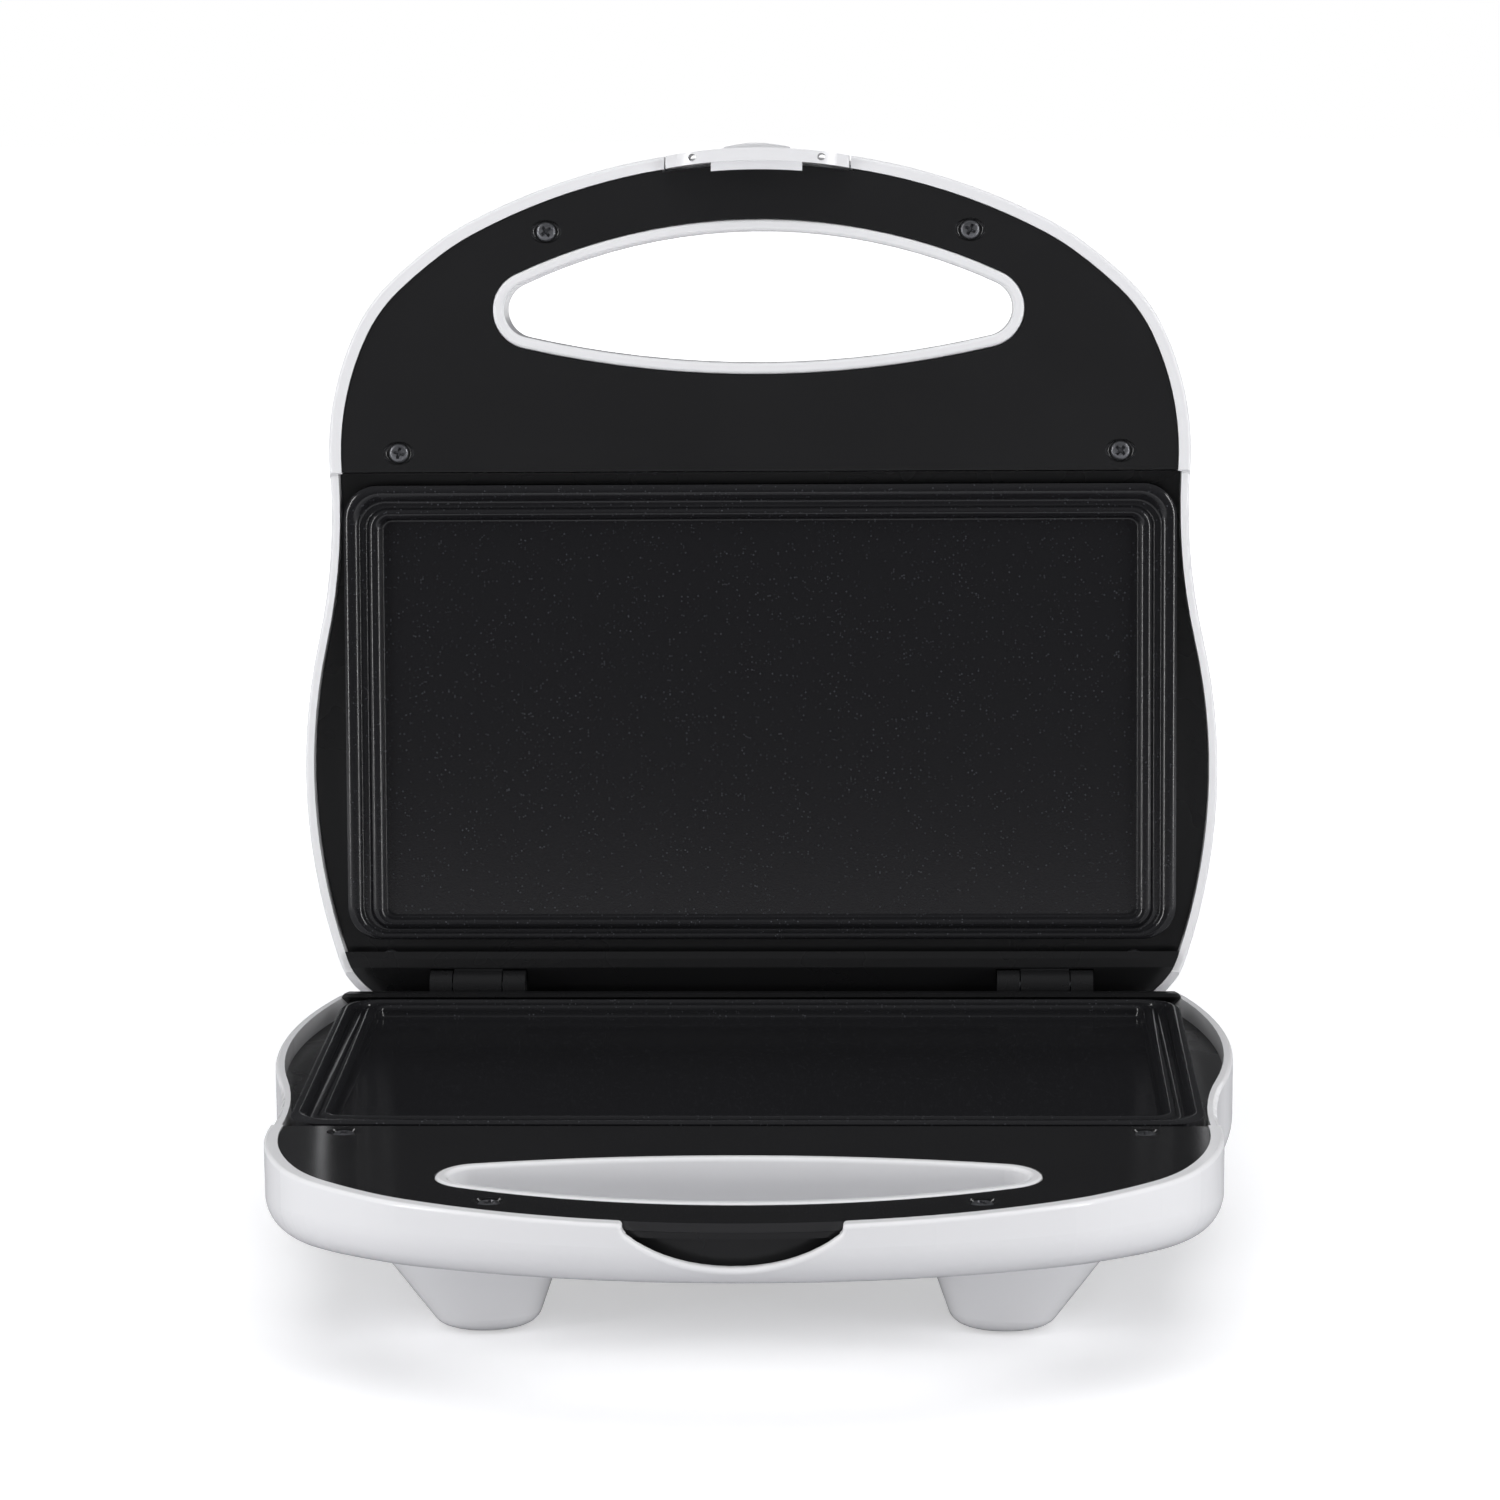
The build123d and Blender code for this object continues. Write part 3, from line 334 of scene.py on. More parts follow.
class Palette:
    """Materials by slot, each made once."""

    def __init__(self) -> None:
        """Make every finish of the list."""
        self.materials = {slot: finish.build() for slot, finish in FINISHES.items()}

    def dress_frame(self) -> None:
        """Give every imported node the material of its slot."""
        for part in frame["record"]["subparts"]:
            node = frame["nodes"][part["node"]]
            for material_slot in node.material_slots:
                material_slot.material = self.materials[Slot(part["material_slot"])]

    def __getitem__(self, slot: Slot) -> bpy.types.Material:
        """Return the material of a slot."""
        return self.materials[slot]


@dataclass(frozen=True)
class Half:
    """Plane where one half meets the other: across, forward from the hinge, and outward."""

    body: str
    origin: Vector
    across: Vector
    forward: Vector
    outward: Vector

    def at(self, u: float, v: float, w: float) -> Vector:
        """Return the point in metres at a place given in millimetres across, forward and outward."""
        return self.origin + (self.across * u + self.forward * v + self.outward * w) * MM

    def local(self, point: Vector) -> Vector:
        """Return a point's place in millimetres across, forward and outward."""
        step = (point - self.origin) / MM
        return Vector((step.dot(self.across), step.dot(self.forward), step.dot(self.outward)))


def read_halves() -> tuple[Half, Half]:
    """Work out the base's and the lid's planes from the hinge in the record.

    Returns:
        The base's half and the lid's half.
    """
    hinge = next(j for j in frame["joints"] if j["name"] == "lid_hinge")
    origin = Vector(hinge["pos_m"])
    tilt = math.radians(max(hinge["range_deg"]))
    base = Half("base", origin, Vector((1, 0, 0)), Vector((0, -1, 0)), Vector((0, 0, -1)))
    lid = Half("lid", origin, Vector((-1, 0, 0)), Vector((0, -math.cos(tilt), math.sin(tilt))),
               Vector((0, math.sin(tilt), math.cos(tilt))))
    return base, lid


def finished(mesh: bpy.types.Mesh, name: str, body: str, slot: Slot, palette: Palette, *nodes: str,
             sharp_deg: float = 40.0) -> bpy.types.Object:
    """Turn a mesh that is already in place into a finished piece.

    Args:
        mesh: Mesh in the frame's own coordinates.
        name: Name of the piece.
        body: CAD body that it rides on.
        slot: Slot that its finish comes from.
        palette: All materials.
        nodes: CAD nodes that it stands for.
        sharp_deg: Edges that turn by more than this stay sharp.

    Returns:
        The object, at the origin and unturned.
    """
    mesh.materials.clear()
    mesh.materials.append(palette[slot])
    mesh.polygons.foreach_set("use_smooth", [True] * len(mesh.polygons))
    mesh.set_sharp_from_angle(angle=math.radians(sharp_deg))
    piece = bpy.data.objects.new(name, mesh)
    bpy.context.scene.collection.objects.link(piece)
    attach(piece, body)
    if nodes:
        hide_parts(*nodes)
    log.info("%s: %d faces on %s", name, len(mesh.polygons), body)
    return piece


def bake(carrier: bpy.types.Object) -> bpy.types.Mesh:
    """Turn a carrier with live modifiers into a plain mesh, and remove the carrier.

    Args:
        carrier: Object whose modifiers make the shape.

    Returns:
        The plain mesh.
    """
    bpy.context.view_layer.update()
    graph = bpy.context.evaluated_depsgraph_get()
    mesh = bpy.data.meshes.new_from_object(carrier.evaluated_get(graph))
    carrier.modifiers.clear()
    bpy.data.objects.remove(carrier)
    return mesh


def mesh_from(work: bmesh.types.BMesh, name: str) -> bpy.types.Mesh:
    """Write a bmesh to a new mesh with outward faces, and free it.

    Args:
        work: Mesh in the making.
        name: Name of the new mesh.

    Returns:
        The new mesh.
    """
    bmesh.ops.recalc_face_normals(work, faces=work.faces)
    mesh = bpy.data.meshes.new(name)
    work.to_mesh(mesh)
    work.free()
    return mesh


def skin(work: bmesh.types.BMesh, rings: list[list[bmesh.types.BMVert]]) -> None:
    """Join each ring of points to the next; a ring of one point is a tip.

    Args:
        work: Mesh that gets the faces.
        rings: Closed rings in order.
    """
    count = max(len(ring) for ring in rings)
    for upper, lower in zip(rings, rings[1:]):
        for i in range(count):
            j = (i + 1) % count
            loop = [upper[i % len(upper)], lower[i % len(lower)],
                    lower[j % len(lower)], upper[j % len(upper)]]
            work.faces.new(list(dict.fromkeys(loop)))


def clusters(places: list[Vector], reach: float) -> list[list[Vector]]:
    """Sort points into groups that stand apart across and forward.

    Args:
        places: Points in a half's own directions.
        reach: Distance from a group's first point within which a point belongs to it.

    Returns:
        The groups.
    """
    groups: list[list[Vector]] = []
    for place in places:
        for group in groups:
            if (place.xy - group[0].xy).length < reach:
                group.append(place)
                break
        else:
            groups.append([place])
    return groups


def middle(group: list[Vector]) -> Vector:
    """Return the middle of a group's extent, across and forward."""
    return Vector([(min(p[axis] for p in group) + max(p[axis] for p in group)) / 2 for axis in (0, 1)])


@dataclass
class CookingPlate:
    """Cast plate with a crowned rim, a groove and a crowned rib round its flat basin.

    Lengths are in millimetres. A place on the plate's section runs from 0 at its edge, over 1 and 2 at
    the groove's two sides, to 3 at the basin's edge and 4 on its floor. The edges give how far in each
    whole place lies at the sides, the rear and the front. The groove's and basin's sides are places and
    depths; the groove's other side is the mirror image of its first.
    """

    half: Half
    edges: tuple[tuple[float, float, float], ...] = (
        (0.0, 0.0, 0.0), (3.7, 1.8, 3.7), (6.5, 3.2, 6.2), (9.7, 5.4, 8.8), (11.3, 6.6, 9.9))
    groove_side: tuple[tuple[float, float], ...] = ((1.05, 1.42), (1.12, 1.7), (1.22, 1.86), (1.38, 1.9))
    basin_side: tuple[tuple[float, float], ...] = (
        (3.04, 2.3), (3.12, 3.1), (3.22, 3.6), (3.36, 3.84), (3.6, 3.9), (4.0, 3.9))
    corner: float = 9.0
    corner_step: float = 1.15
    smallest_corner: float = 2.2
    corner_points: int = 12
    thickness: float = 7.0
    rim_top: float = 0.3
    rib_top: float = 0.86
    crown: float = 0.75
    crown_steps: int = 10
    post_radius: float = 3.6
    post_root: float = 0.2
    post_chamfer: float = 0.3
    post_tip: float = 1.0
    pilot_radius: float = 1.55
    pilot_floor: float = 0.4
    post_sides: int = 32
    sharp_deg: float = 50.0

    def crowned(self, start: float, top: float) -> list[tuple[float, float]]:
        """Return the rounded crest between a place and the next one.

        Args:
            start: Place where the crest begins.
            top: Depth of its highest line.

        Returns:
            Places and depths across the crest.
        """
        shares = [i / self.crown_steps for i in range(self.crown_steps + 1)]
        return [(start + share, top + self.crown * (2 * share - 1) ** 2) for share in shares]

    def section(self) -> list[tuple[float, float]]:
        """Return the section's places and depths, from the back of the edge to the basin."""
        far_side = [(3 - place, depth) for place, depth in reversed(self.groove_side)]
        return [(0.0, self.thickness), *self.crowned(0.0, self.rim_top), *self.groove_side, *far_side,
                *self.crowned(2.0, self.rib_top), *self.basin_side]

    def ring(self, place: float, box: tuple[float, float, float]) -> list[tuple[float, float]]:
        """Return the rounded rectangle at a place of the section.

        Args:
            place: Where the ring is, in steps of `edges`.
            box: The plate's half width, rear edge and front edge.

        Returns:
            Points across and forward, in order.
        """
        low = min(int(place), len(self.edges) - 2)
        share = place - low
        side, rear, front = (a + (b - a) * share for a, b in zip(self.edges[low], self.edges[low + 1]))
        radius = max(self.corner - rear * self.corner_step, self.smallest_corner)
        half_width, back, fore = box
        right, near, far = half_width - side - radius, back + rear + radius, fore - front - radius
        points = []
        for number, (u, v) in enumerate(((right, far), (-right, far), (-right, near), (right, near))):
            for step in range(self.corner_points + 1):
                angle = math.radians(90 * (number + step / self.corner_points))
                points.append((u + radius * math.cos(angle), v + radius * math.sin(angle)))
        return points

    def post(self, work: bmesh.types.BMesh, spot: Vector, deep: float) -> None:
        """Add one screw post with its pilot hole behind the plate.

        Args:
            work: Mesh that gets the post.
            spot: Its middle, across and forward.
            deep: Depth that it reaches.
        """
        root = self.thickness - self.post_root
        end = root + self.pilot_floor
        section = [(0.0, root), (self.post_radius, root), (self.post_radius, deep - self.post_chamfer),
                   (self.post_radius - self.post_chamfer, deep), (self.pilot_radius, deep),
                   (self.pilot_radius, end), (0.0, end)]
        rings = []
        for radius, depth in section:
            count = self.post_sides if radius else 1
            turns = [math.tau * i / self.post_sides for i in range(count)]
            rings.append([work.verts.new(self.half.at(spot.x + radius * math.cos(turn),
                                                      spot.y + radius * math.sin(turn), depth))
                          for turn in turns])
        skin(work, rings)

    def build(self, palette: Palette) -> bpy.types.Object:
        """Skin the rings, close the basin and the back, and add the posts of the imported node.

        Args:
            palette: All materials.

        Returns:
            The plate.
        """
        node = f"{self.half.body}_plate"
        places = [self.half.local(v.co) for v in frame["nodes"][node].data.vertices]
        box = (max(p.x for p in places), min(p.y for p in places), max(p.y for p in places))
        deep = max(p.z for p in places)
        work = bmesh.new()
        rings = []
        for place, depth in self.section():
            rings.append([work.verts.new(self.half.at(u, v, depth)) for u, v in self.ring(place, box)])
        skin(work, rings)
        work.faces.new(rings[-1])
        work.faces.new(list(reversed(rings[0])))
        for spot in clusters([p for p in places if p.z > deep - self.post_tip], 2 * self.post_radius):
            self.post(work, middle(spot), deep)
        mesh = mesh_from(work, node + "_casting")
        return finished(mesh, f"{self.half.body}_cooking_plate", self.half.body, Slot.NON_STICK, palette,
                        node, sharp_deg=self.sharp_deg)


class SeatedSet:
    """Equal small pieces, one on each seat of a packed group, placed by one node tree.

    A subclass gives these values and makes the template. Spread is how far apart, in millimetres, points
    of one piece may lie, and head_up is 1 for a piece that faces outward and -1 for one that faces
    inward. A set that doesn't stand in for its node only adds to it.
    """

    node: str
    half: Half
    slot: Slot
    head_up: int
    seed: int
    spread: float
    ending: str
    most_turn: float = math.tau
    stands_in: bool = True
    sharp_deg: float = 35.0

    def template(self) -> bpy.types.Object:
        """Make the piece at the origin, its outer side up and its seat at height 0."""
        raise NotImplementedError

    def seat_height(self) -> float:
        """Return how far the piece stands above its seat."""
        raise NotImplementedError

    def seats(self) -> list[Vector]:
        """Find each piece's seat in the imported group.

        Returns:
            The seats, in the half's own directions.
        """
        places = [self.half.local(v.co) for v in frame["nodes"][self.node].data.vertices]
        seats = []
        for group in clusters(places, self.spread):
            tip = max(p.z * self.head_up for p in group) * self.head_up
            seats.append(middle(group).to_3d() + Vector((0, 0, tip - self.head_up * self.seat_height())))
        return seats

    def tree(self) -> bpy.types.NodeTree:
        """Make the node tree that puts a piece, turned at random, on every point.

        Returns:
            The tree.
        """
        tree = bpy.data.node_groups.new("pieces_on_seats", "GeometryNodeTree")
        for name, kind in (("Seats", "NodeSocketGeometry"), ("Piece", "NodeSocketObject"),
                           ("Lean", "NodeSocketVector"), ("Most turn", "NodeSocketFloat"),
                           ("Seed", "NodeSocketInt"), ("Finish", "NodeSocketMaterial")):
            tree.interface.new_socket(name, in_out="INPUT", socket_type=kind)
        tree.interface.new_socket("Pieces", in_out="OUTPUT", socket_type="NodeSocketGeometry")
        given = add_node(tree, "NodeGroupInput").outputs
        piece = add_node(tree, "GeometryNodeObjectInfo", links={"Object": given["Piece"]})
        spin = add_node(tree, "FunctionNodeRandomValue", {"data_type": "FLOAT", 2: 0.0},
                        {3: given["Most turn"], "Seed": given["Seed"]})
        own_turn = add_node(tree, "ShaderNodeCombineXYZ", links={"Z": spin.outputs[1]})
        turn = add_node(tree, "FunctionNodeRotateRotation", {"rotation_space": "LOCAL"},
                        {0: given["Lean"], 1: own_turn.outputs[0]})
        placed = add_node(tree, "GeometryNodeInstanceOnPoints", links={
            "Points": given["Seats"], "Instance": piece.outputs["Geometry"], "Rotation": turn.outputs[0]})
        real = add_node(tree, "GeometryNodeRealizeInstances", links={0: placed.outputs[0]})
        dressed = add_node(tree, "GeometryNodeSetMaterial",
                           links={"Geometry": real.outputs[0], "Material": given["Finish"]})
        add_node(tree, "NodeGroupOutput", links={0: dressed.outputs[0]})
        return tree

    def build(self, palette: Palette) -> bpy.types.Object:
        """Place the pieces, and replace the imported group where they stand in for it.

        Args:
            palette: All materials.

        Returns:
            The pieces as one object.
        """
        mesh = bpy.data.meshes.new("seats")
        mesh.from_pydata([self.half.at(*seat) for seat in self.seats()], [], [])
        carrier = bpy.data.objects.new("seats", mesh)
        bpy.context.scene.collection.objects.link(carrier)
        piece = self.template()
        tree = self.tree()
        modifier = carrier.modifiers.new("pieces", "NODES")
        modifier.node_group = tree
        up = self.half.outward * self.head_up
        lean = Matrix((self.half.across, up.cross(self.half.across), up)).transposed().to_euler()
        values = {"Piece": piece, "Lean": tuple(lean), "Most turn": self.most_turn, "Seed": self.seed,
                  "Finish": palette[self.slot]}
        for item in tree.interface.items_tree:
            if item.in_out == "INPUT" and item.name in values:
                modifier[item.identifier] = values[item.name]
        baked = bake(carrier)
        bpy.data.objects.remove(piece)
        replaced = [self.node] if self.stands_in else []
        return finished(baked, f"{self.node}_{self.ending}", self.half.body, self.slot, palette, *replaced,
                        sharp_deg=self.sharp_deg)


def lathed(name: str, section: list[tuple[float, float]], sides: int) -> bpy.types.Object:
    """Turn a section round the upright axis.

    Args:
        name: Name of the object.
        section: Radii and heights in millimetres, from the top down.
        sides: Points round the axis.

    Returns:
        The object, in the scene.
    """
    work = bmesh.new()
    rings = []
    for radius, height in section:
        count = sides if radius else 1
        turns = [math.tau * i / sides for i in range(count)]
        rings.append([work.verts.new(Vector((radius * math.cos(turn), radius * math.sin(turn), height)) * MM)
                      for turn in turns])
    skin(work, rings)
    piece = bpy.data.objects.new(name, mesh_from(work, name))
    bpy.context.scene.collection.objects.link(piece)
    return piece


@dataclass
class ScrewSet(SeatedSet):
    """Pan-head screws with a cross recess and a cut thread.

    Lengths are in millimetres. The crown is given in shares of the head's radius and height, the
    thread's groove in shares of the pitch, and the recess's floor as a share of its mouth.
    """

    node: str
    half: Half
    slot: Slot
    length: float
    head_up: int = -1
    head_radius: float = 2.65
    head_height: float = 0.9
    crown: tuple[tuple[float, float], ...] = (
        (0.0, 1.0), (0.45, 0.985), (0.68, 0.93), (0.85, 0.78), (0.96, 0.5), (1.0, 0.2), (1.0, 0.0))
    core_radius: float = 1.15
    thread_radius: float = 1.48
    pitch: float = 1.1
    groove: tuple[float, float, float] = (0.1, 0.45, 0.6)
    unthreaded: float = 1.0
    point: float = 0.8
    recess_reach: float = 1.72
    recess_width: float = 0.9
    recess_depth: float = 1.35
    recess_floor: float = 0.5
    recess_over: float = 0.3
    sides: int = 40
    seed: int = 4
    spread: float = 10.0
    ending: str = "cross_recess"

    def seat_height(self) -> float:
        """Return the height of a head."""
        return self.head_height

    def template(self) -> bpy.types.Object:
        """Lathe one head with its threaded shank and cut the cross recess into it.

        Returns:
            The screw, in the scene.
        """
        section = [(self.head_radius * across, self.head_height * up) for across, up in self.crown]
        section.append((self.thread_radius, 0.0))
        crest, root, root_end = (self.pitch * share for share in self.groove)
        for turn in range(int((self.length - self.unthreaded) / self.pitch)):
            depth = -turn * self.pitch
            section += [(self.thread_radius, depth - crest), (self.core_radius, depth - root),
                        (self.core_radius, depth - root_end)]
        section += [(self.core_radius, -self.length + self.point), (0.0, -self.length)]
        head = lathed("screw_blank", section, self.sides)
        cutter = self.recess()
        bpy.context.scene.collection.objects.link(cutter)
        cut = head.modifiers.new("recess", "BOOLEAN")
        cut.operation = "DIFFERENCE"
        cut.object = cutter
        cut.solver = "EXACT"
        mesh = bake(head)
        bpy.data.objects.remove(cutter)
        screw = bpy.data.objects.new("screw_template", mesh)
        bpy.context.scene.collection.objects.link(screw)
        return screw

    def recess(self) -> bpy.types.Object:
        """Make the tapered cross that is cut out of a head.

        Returns:
            The cutter, not yet in the scene.
        """
        work = bmesh.new()
        reach, side = self.recess_reach, self.recess_width / 2
        arm = [(side, side), (side, reach), (-side, reach)]
        outline = []
        for quarter in range(4):
            turn = Matrix.Rotation(math.pi / 2 * quarter, 2)
            outline += [turn @ Vector(p) for p in arm]
        levels = ((self.head_height + self.recess_over, 1.0),
                  (self.head_height - self.recess_depth, self.recess_floor))
        rings = []
        for height, share in levels:
            rings.append([work.verts.new((p.x * MM * share, p.y * MM * share, height * MM)) for p in outline])
        skin(work, rings)
        for ring in rings:
            work.faces.new(ring)
        return bpy.data.objects.new("recess_cutter", mesh_from(work, "recess_cutter"))


@dataclass
class FootPads(SeatedSet):
    """Moulded foot pads with grip rings under a soft edge.

    Lengths are in millimetres.
    """

    node: str
    half: Half
    slot: Slot = Slot.PAD_RUBBER
    head_up: int = 1
    radius: float = 5.4
    height: float = 1.8
    edge: float = 0.4
    edge_bend: float = 0.3
    grooves: tuple[float, ...] = (1.6, 2.9, 4.2)
    groove_half: float = 0.22
    groove_depth: float = 0.35
    sides: int = 64
    seed: int = 2
    spread: float = 12.0
    ending: str = "grip_rings"

    def seat_height(self) -> float:
        """Return the height of a pad."""
        return self.height

    def template(self) -> bpy.types.Object:
        """Lathe a pad with its grooves.

        Returns:
            The pad, in the scene.
        """
        section = [(0.0, self.height)]
        for radius in self.grooves:
            for step, sink in ((-2, 0.0), (-1, self.groove_depth), (1, self.groove_depth), (2, 0.0)):
                section.append((radius + step * self.groove_half, self.height - sink))
        bend = self.edge * self.edge_bend
        section += [(self.radius - self.edge, self.height), (self.radius - bend, self.height - bend),
                    (self.radius, self.height - self.edge), (self.radius, 0.0), (0.0, 0.0)]
        return lathed("foot_pad", section, self.sides)


@dataclass
class CoverDimples(SeatedSet):
    """Dished seats round the handle cover's screws, part of its moulding.

    Lengths are in millimetres.
    """

    node: str
    half: Half
    slot: Slot = Slot.BLACK_COVER
    head_up: int = -1
    screw_height: float = 0.9
    across: float = 4.17
    along: float = 3.07
    floor_radius: float = 2.8
    depth: float = 1.0
    lift: float = 0.02
    steps: int = 6
    sides: int = 48
    seed: int = 1
    spread: float = 10.0
    most_turn: float = 0.0
    ending: str = "dimples"
    stands_in: bool = False

    def seat_height(self) -> float:
        """Return how far a screw's head stands above the dimple's floor."""
        return self.screw_height

    def template(self) -> bpy.types.Object:
        """Sweep the dish from the oval edge down to the round floor.

        Returns:
            The dimple, in the scene.
        """
        work = bmesh.new()
        rings = []
        for step in range(self.steps + 2):
            share = min(step / self.steps, 1.0)
            dish = self.lift + (self.depth - self.lift) * (1 - share) ** 2
            ring = []
            for i in range(self.sides):
                turn = math.tau * i / self.sides
                cosine, sine = math.cos(turn), math.sin(turn)
                oval = Vector((self.across * cosine, self.along * sine, dish))
                floor = Vector((self.floor_radius * cosine, self.floor_radius * sine, dish))
                place = oval.lerp(floor, share) if step <= self.steps else Vector((oval.x, oval.y, self.lift))
                ring.append(work.verts.new(place * MM))
            rings.append(ring)
        skin(work, rings + rings[:1])
        piece = bpy.data.objects.new("dimple", mesh_from(work, "dimple"))
        bpy.context.scene.collection.objects.link(piece)
        return piece


@dataclass
class PhotoCamera:
    """Camera at the photograph's viewing angle.

    The place is in millimetres from the hinge, the angles are in degrees, the focal length is in widths
    of the frame and the nearest and farthest things it sees are in metres.
    """

    place: tuple[float, float, float] = (39.7, -1264.4, 313.2)
    yaw: float = -1.91
    pitch: float = 11.12
    roll: float = -0.48
    focal: float = 4851.2 / 1500
    sensor_mm: float = 36.0
    nearest: float = 0.01
    farthest: float = 50.0

    def build(self, hinge: Vector) -> None:
        """Make the camera and set it as the scene's own.

        Args:
            hinge: Middle of the lid's hinge.
        """
        yaw, pitch, roll = (math.radians(a) for a in (self.yaw, self.pitch, self.roll))
        look = Vector((math.sin(yaw) * math.cos(pitch), math.cos(yaw) * math.cos(pitch), -math.sin(pitch)))
        level = Vector((math.cos(yaw), -math.sin(yaw), 0))
        up = level.cross(look)
        right = level * math.cos(roll) + up * math.sin(roll)
        top = up * math.cos(roll) - level * math.sin(roll)
        data = bpy.data.cameras.new("photo_camera")
        data.sensor_width = self.sensor_mm
        data.lens = self.focal * self.sensor_mm
        data.clip_start = self.nearest
        data.clip_end = self.farthest
        camera = bpy.data.objects.new("photo_camera", data)
        camera.matrix_world = (Matrix.Translation(hinge + Vector(self.place) * MM)
                               @ Matrix((right, top, -look)).transposed().to_4x4())
        bpy.context.scene.collection.objects.link(camera)
        bpy.context.scene.camera = camera


@dataclass(frozen=True)
class Panel:
    """Soft panel of light: where it hangs, what it faces and its size, in metres, and its power.

    A panel that isn't mirrored lights surfaces without showing in their gloss.
    """

    name: str
    place: tuple[float, float, float]
    size: tuple[float, float]
    watts: float
    aim: tuple[float, float, float] = (0.0, 0.0, 0.12)
    mirrored: bool = True

    def hang(self) -> None:
        """Add the light to the scene."""
        data = bpy.data.lights.new(self.name, "AREA")
        data.shape = "RECTANGLE"
        data.size, data.size_y = self.size
        data.energy = self.watts
        light = bpy.data.objects.new(self.name, data)
        light.location = self.place
        light.visible_glossy = self.mirrored
        light.rotation_euler = (Vector(self.aim) - Vector(self.place)).to_track_quat("-Z", "Y").to_euler()
        bpy.context.scene.collection.objects.link(light)


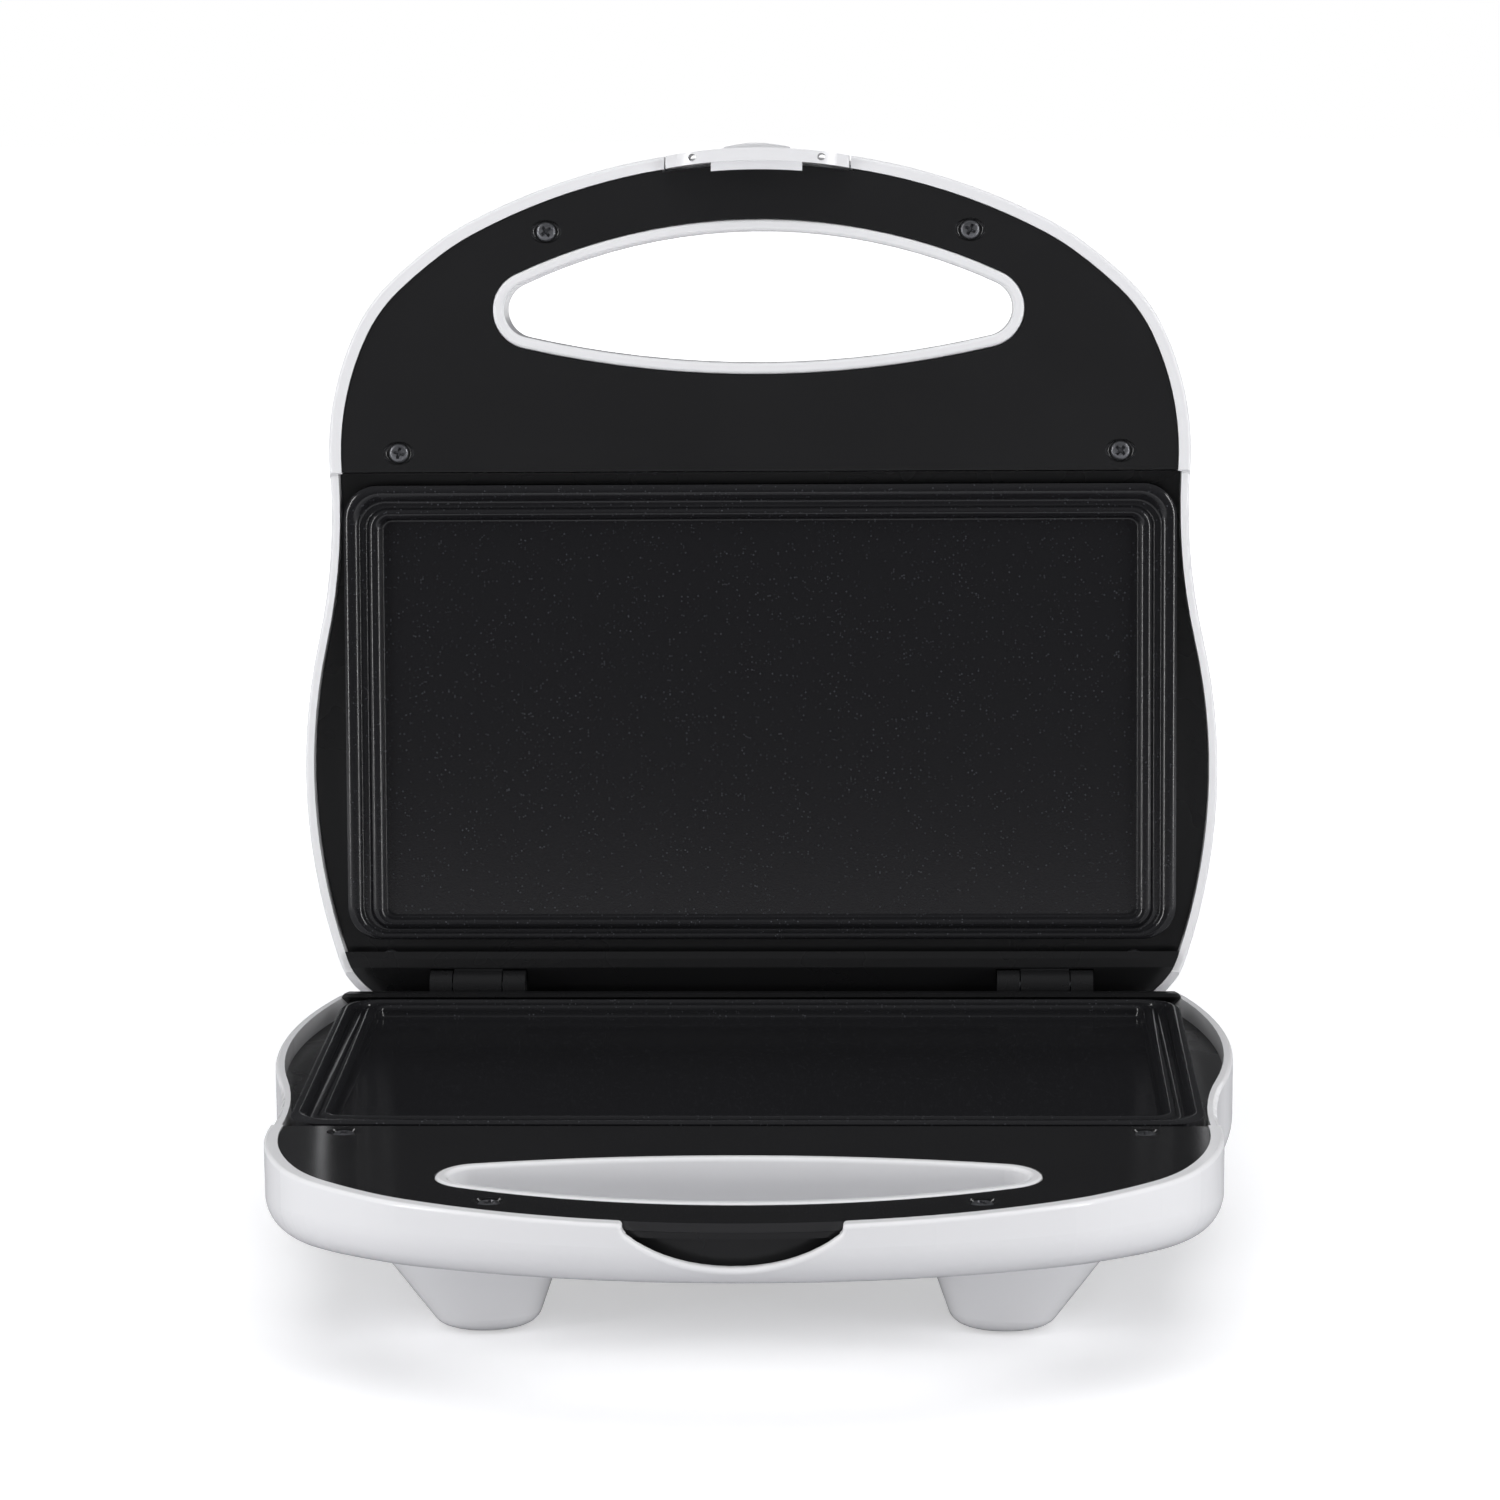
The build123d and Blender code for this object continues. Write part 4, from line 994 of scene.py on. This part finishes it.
@dataclass
class Studio:
    """White paper sweep in a dim room, and soft panels of light. Lengths are in metres.

    The paper glows where the camera sees it, a little under the object and fully far from it, so it
    fades into plain white with only the object's shadow left on it. It throws less light at the object
    than it shows, which keeps the underside in shade. The ramps say how strongly the room shines at the
    object by direction: by height, by how straight behind or beside it is, and how far to the front.
    """

    half_width: float = 4.0
    front: float = -2.4
    back: float = 4.0
    near_glow: float = 0.42
    bounce: float = 0.0
    far_glow: float = 1.0
    far_bounce: float = 0.4
    fade_from: float = 0.35
    fade_to: float = 0.9
    paper_seen: str = "#F2F2F4"
    paper_thrown: str = "#B6B6BA"
    paper_roughness: float = 0.8
    above: Ramp = Ramp(0.15, 0.8, 0.03, 0.2)
    behind: Ramp = Ramp(0.86, 0.97, high=0.05)
    beside: Ramp = Ramp(0.55, 0.85, high=0.1)
    ahead: Ramp = Ramp(-0.05, -0.3)
    daylight: str = "#F4F6FA"
    plain_white: str = "#FFFFFF"
    panels: list[Panel] = field(default_factory=lambda: [
        Panel("overhead", (0.0, 0.1, 2.2), (2.4, 2.4), 30.0, mirrored=False),
        Panel("left_strip", (-1.2, -0.72, 0.45), (0.1, 1.3), 6.0),
        Panel("right_strip", (1.2, -0.72, 0.45), (0.1, 1.3), 6.0),
        Panel("left_fill", (-1.3, -0.3, 0.12), (0.6, 0.2), 5.2, mirrored=False),
        Panel("right_fill", (1.3, -0.3, 0.12), (0.6, 0.2), 5.2, mirrored=False),
        Panel("front_high", (0.0, -1.4, 2.1), (2.6, 1.0), 2.0, mirrored=False),
        Panel("front_low", (0.0, -1.2, 0.1), (0.9, 0.3), 3.0, mirrored=False)])

    def floor(self) -> None:
        """Lay the paper."""
        sides = (-self.half_width, self.half_width)
        ends = [(x, y, 0.0) for y in (self.front, self.back) for x in sides]
        mesh = bpy.data.meshes.new("studio_floor")
        mesh.from_pydata(ends, [], [(0, 1, 3, 2)])
        material = bpy.data.materials.new("white_paper_sweep")
        material.use_nodes = True
        tree = material.node_tree
        tree.nodes.clear()
        where = add_node(tree, "ShaderNodeTexCoord").outputs["Object"]
        away = add_node(tree, "ShaderNodeVectorMath", {"operation": "LENGTH"}, {0: where})
        fade = add_node(tree, "ShaderNodeMapRange", {"From Min": self.fade_from, "From Max": self.fade_to,
                                                     "interpolation_type": "SMOOTHSTEP"},
                        {"Value": away.outputs["Value"]})
        ray = add_node(tree, "ShaderNodeLightPath")
        near = add_node(tree, "ShaderNodeMapRange", {"To Min": self.bounce, "To Max": self.near_glow},
                        {"Value": ray.outputs["Is Camera Ray"]})
        far = add_node(tree, "ShaderNodeMapRange", {"To Min": self.far_bounce, "To Max": self.far_glow},
                       {"Value": ray.outputs["Is Camera Ray"]})
        glow = add_node(tree, "ShaderNodeMix", {"data_type": "FLOAT"},
                        {0: fade.outputs[0], FLOAT_LOW: near.outputs[0], FLOAT_HIGH: far.outputs[0]})
        tone = add_node(tree, "ShaderNodeMix", {"data_type": "RGBA", COLOUR_LOW: linear(self.paper_thrown),
                                                COLOUR_HIGH: linear(self.paper_seen)},
                        {0: ray.outputs["Is Camera Ray"]})
        paper = add_node(tree, "ShaderNodeBsdfPrincipled",
                         {"Roughness": self.paper_roughness, "Emission Color": linear(self.plain_white)},
                         {"Base Color": tone.outputs[COLOUR_OUT], "Emission Strength": glow.outputs[0]})
        add_node(tree, "ShaderNodeOutputMaterial", links={"Surface": paper.outputs[0]})
        mesh.materials.append(material)
        floor = bpy.data.objects.new("studio_floor", mesh)
        bpy.context.scene.collection.objects.link(floor)

    def room(self) -> None:
        """Light the room: soft overhead, dim at the front corners and behind, white where it shows."""
        world = bpy.data.worlds.new("studio")
        bpy.context.scene.world = world
        world.use_nodes = True
        tree = world.node_tree
        tree.nodes.clear()
        where = add_node(tree, "ShaderNodeTexCoord").outputs["Generated"]
        axes = add_node(tree, "ShaderNodeSeparateXYZ", links={0: where})
        sideways = add_node(tree, "ShaderNodeMath", {"operation": "ABSOLUTE"}, {0: axes.outputs["X"]})
        above, behind, beside, ahead = (
            add_node(tree, "ShaderNodeMapRange", ramp.settings(), {"Value": source}).outputs[0]
            for ramp, source in ((self.above, axes.outputs["Z"]), (self.behind, axes.outputs["Y"]),
                                 (self.beside, sideways.outputs[0]), (self.ahead, axes.outputs["Y"])))
        corners = add_node(tree, "ShaderNodeMath", {"operation": "MULTIPLY"}, {0: beside, 1: ahead})
        walls = add_node(tree, "ShaderNodeMath", {"operation": "MAXIMUM"}, {0: corners.outputs[0], 1: behind})
        strength = add_node(tree, "ShaderNodeMath", {"operation": "MAXIMUM"}, {0: above, 1: walls.outputs[0]})
        lit = add_node(tree, "ShaderNodeBackground", {"Color": linear(self.daylight)},
                       {"Strength": strength.outputs[0]})
        plain = add_node(tree, "ShaderNodeBackground", {"Color": linear(self.plain_white), "Strength": 1.0})
        ray = add_node(tree, "ShaderNodeLightPath")
        mix = add_node(tree, "ShaderNodeMixShader", links={0: ray.outputs["Is Camera Ray"], 1: lit.outputs[0],
                                                           2: plain.outputs[0]})
        add_node(tree, "ShaderNodeOutputWorld", links={0: mix.outputs[0]})

    def build(self) -> None:
        """Set up the floor, the panels, the room and plain colour handling."""
        self.floor()
        for panel in self.panels:
            panel.hang()
        self.room()
        bpy.context.scene.view_settings.view_transform = "Standard"


def main() -> None:
    """Build every piece in order."""
    logging.basicConfig(level=logging.INFO, format="%(name)s %(message)s")
    base, lid = read_halves()
    palette = Palette()
    palette.dress_frame()
    PhotoCamera().build(base.origin)
    Studio().build()
    for half in (base, lid):
        CookingPlate(half).build(palette)
        ScrewSet(f"{half.body}_cover_screws", half, Slot.DARK_SCREW, length=8.0).build(palette)
        CoverDimples(f"{half.body}_cover_screws", half).build(palette)
        ScrewSet(f"{half.body}_plate_screws", half, Slot.BRIGHT_STEEL, length=7.0, head_up=1,
                 seed=6).build(palette)
    ScrewSet("base_bottom_screws", base, Slot.DARK_SCREW, length=10.0, head_up=1, seed=8).build(palette)
    ScrewSet("lid_frame_screws", lid, Slot.DARK_SCREW, length=8.0, seed=9).build(palette)
    FootPads("foot_pads", base).build(palette)


if __name__ == "__main__":
    main()
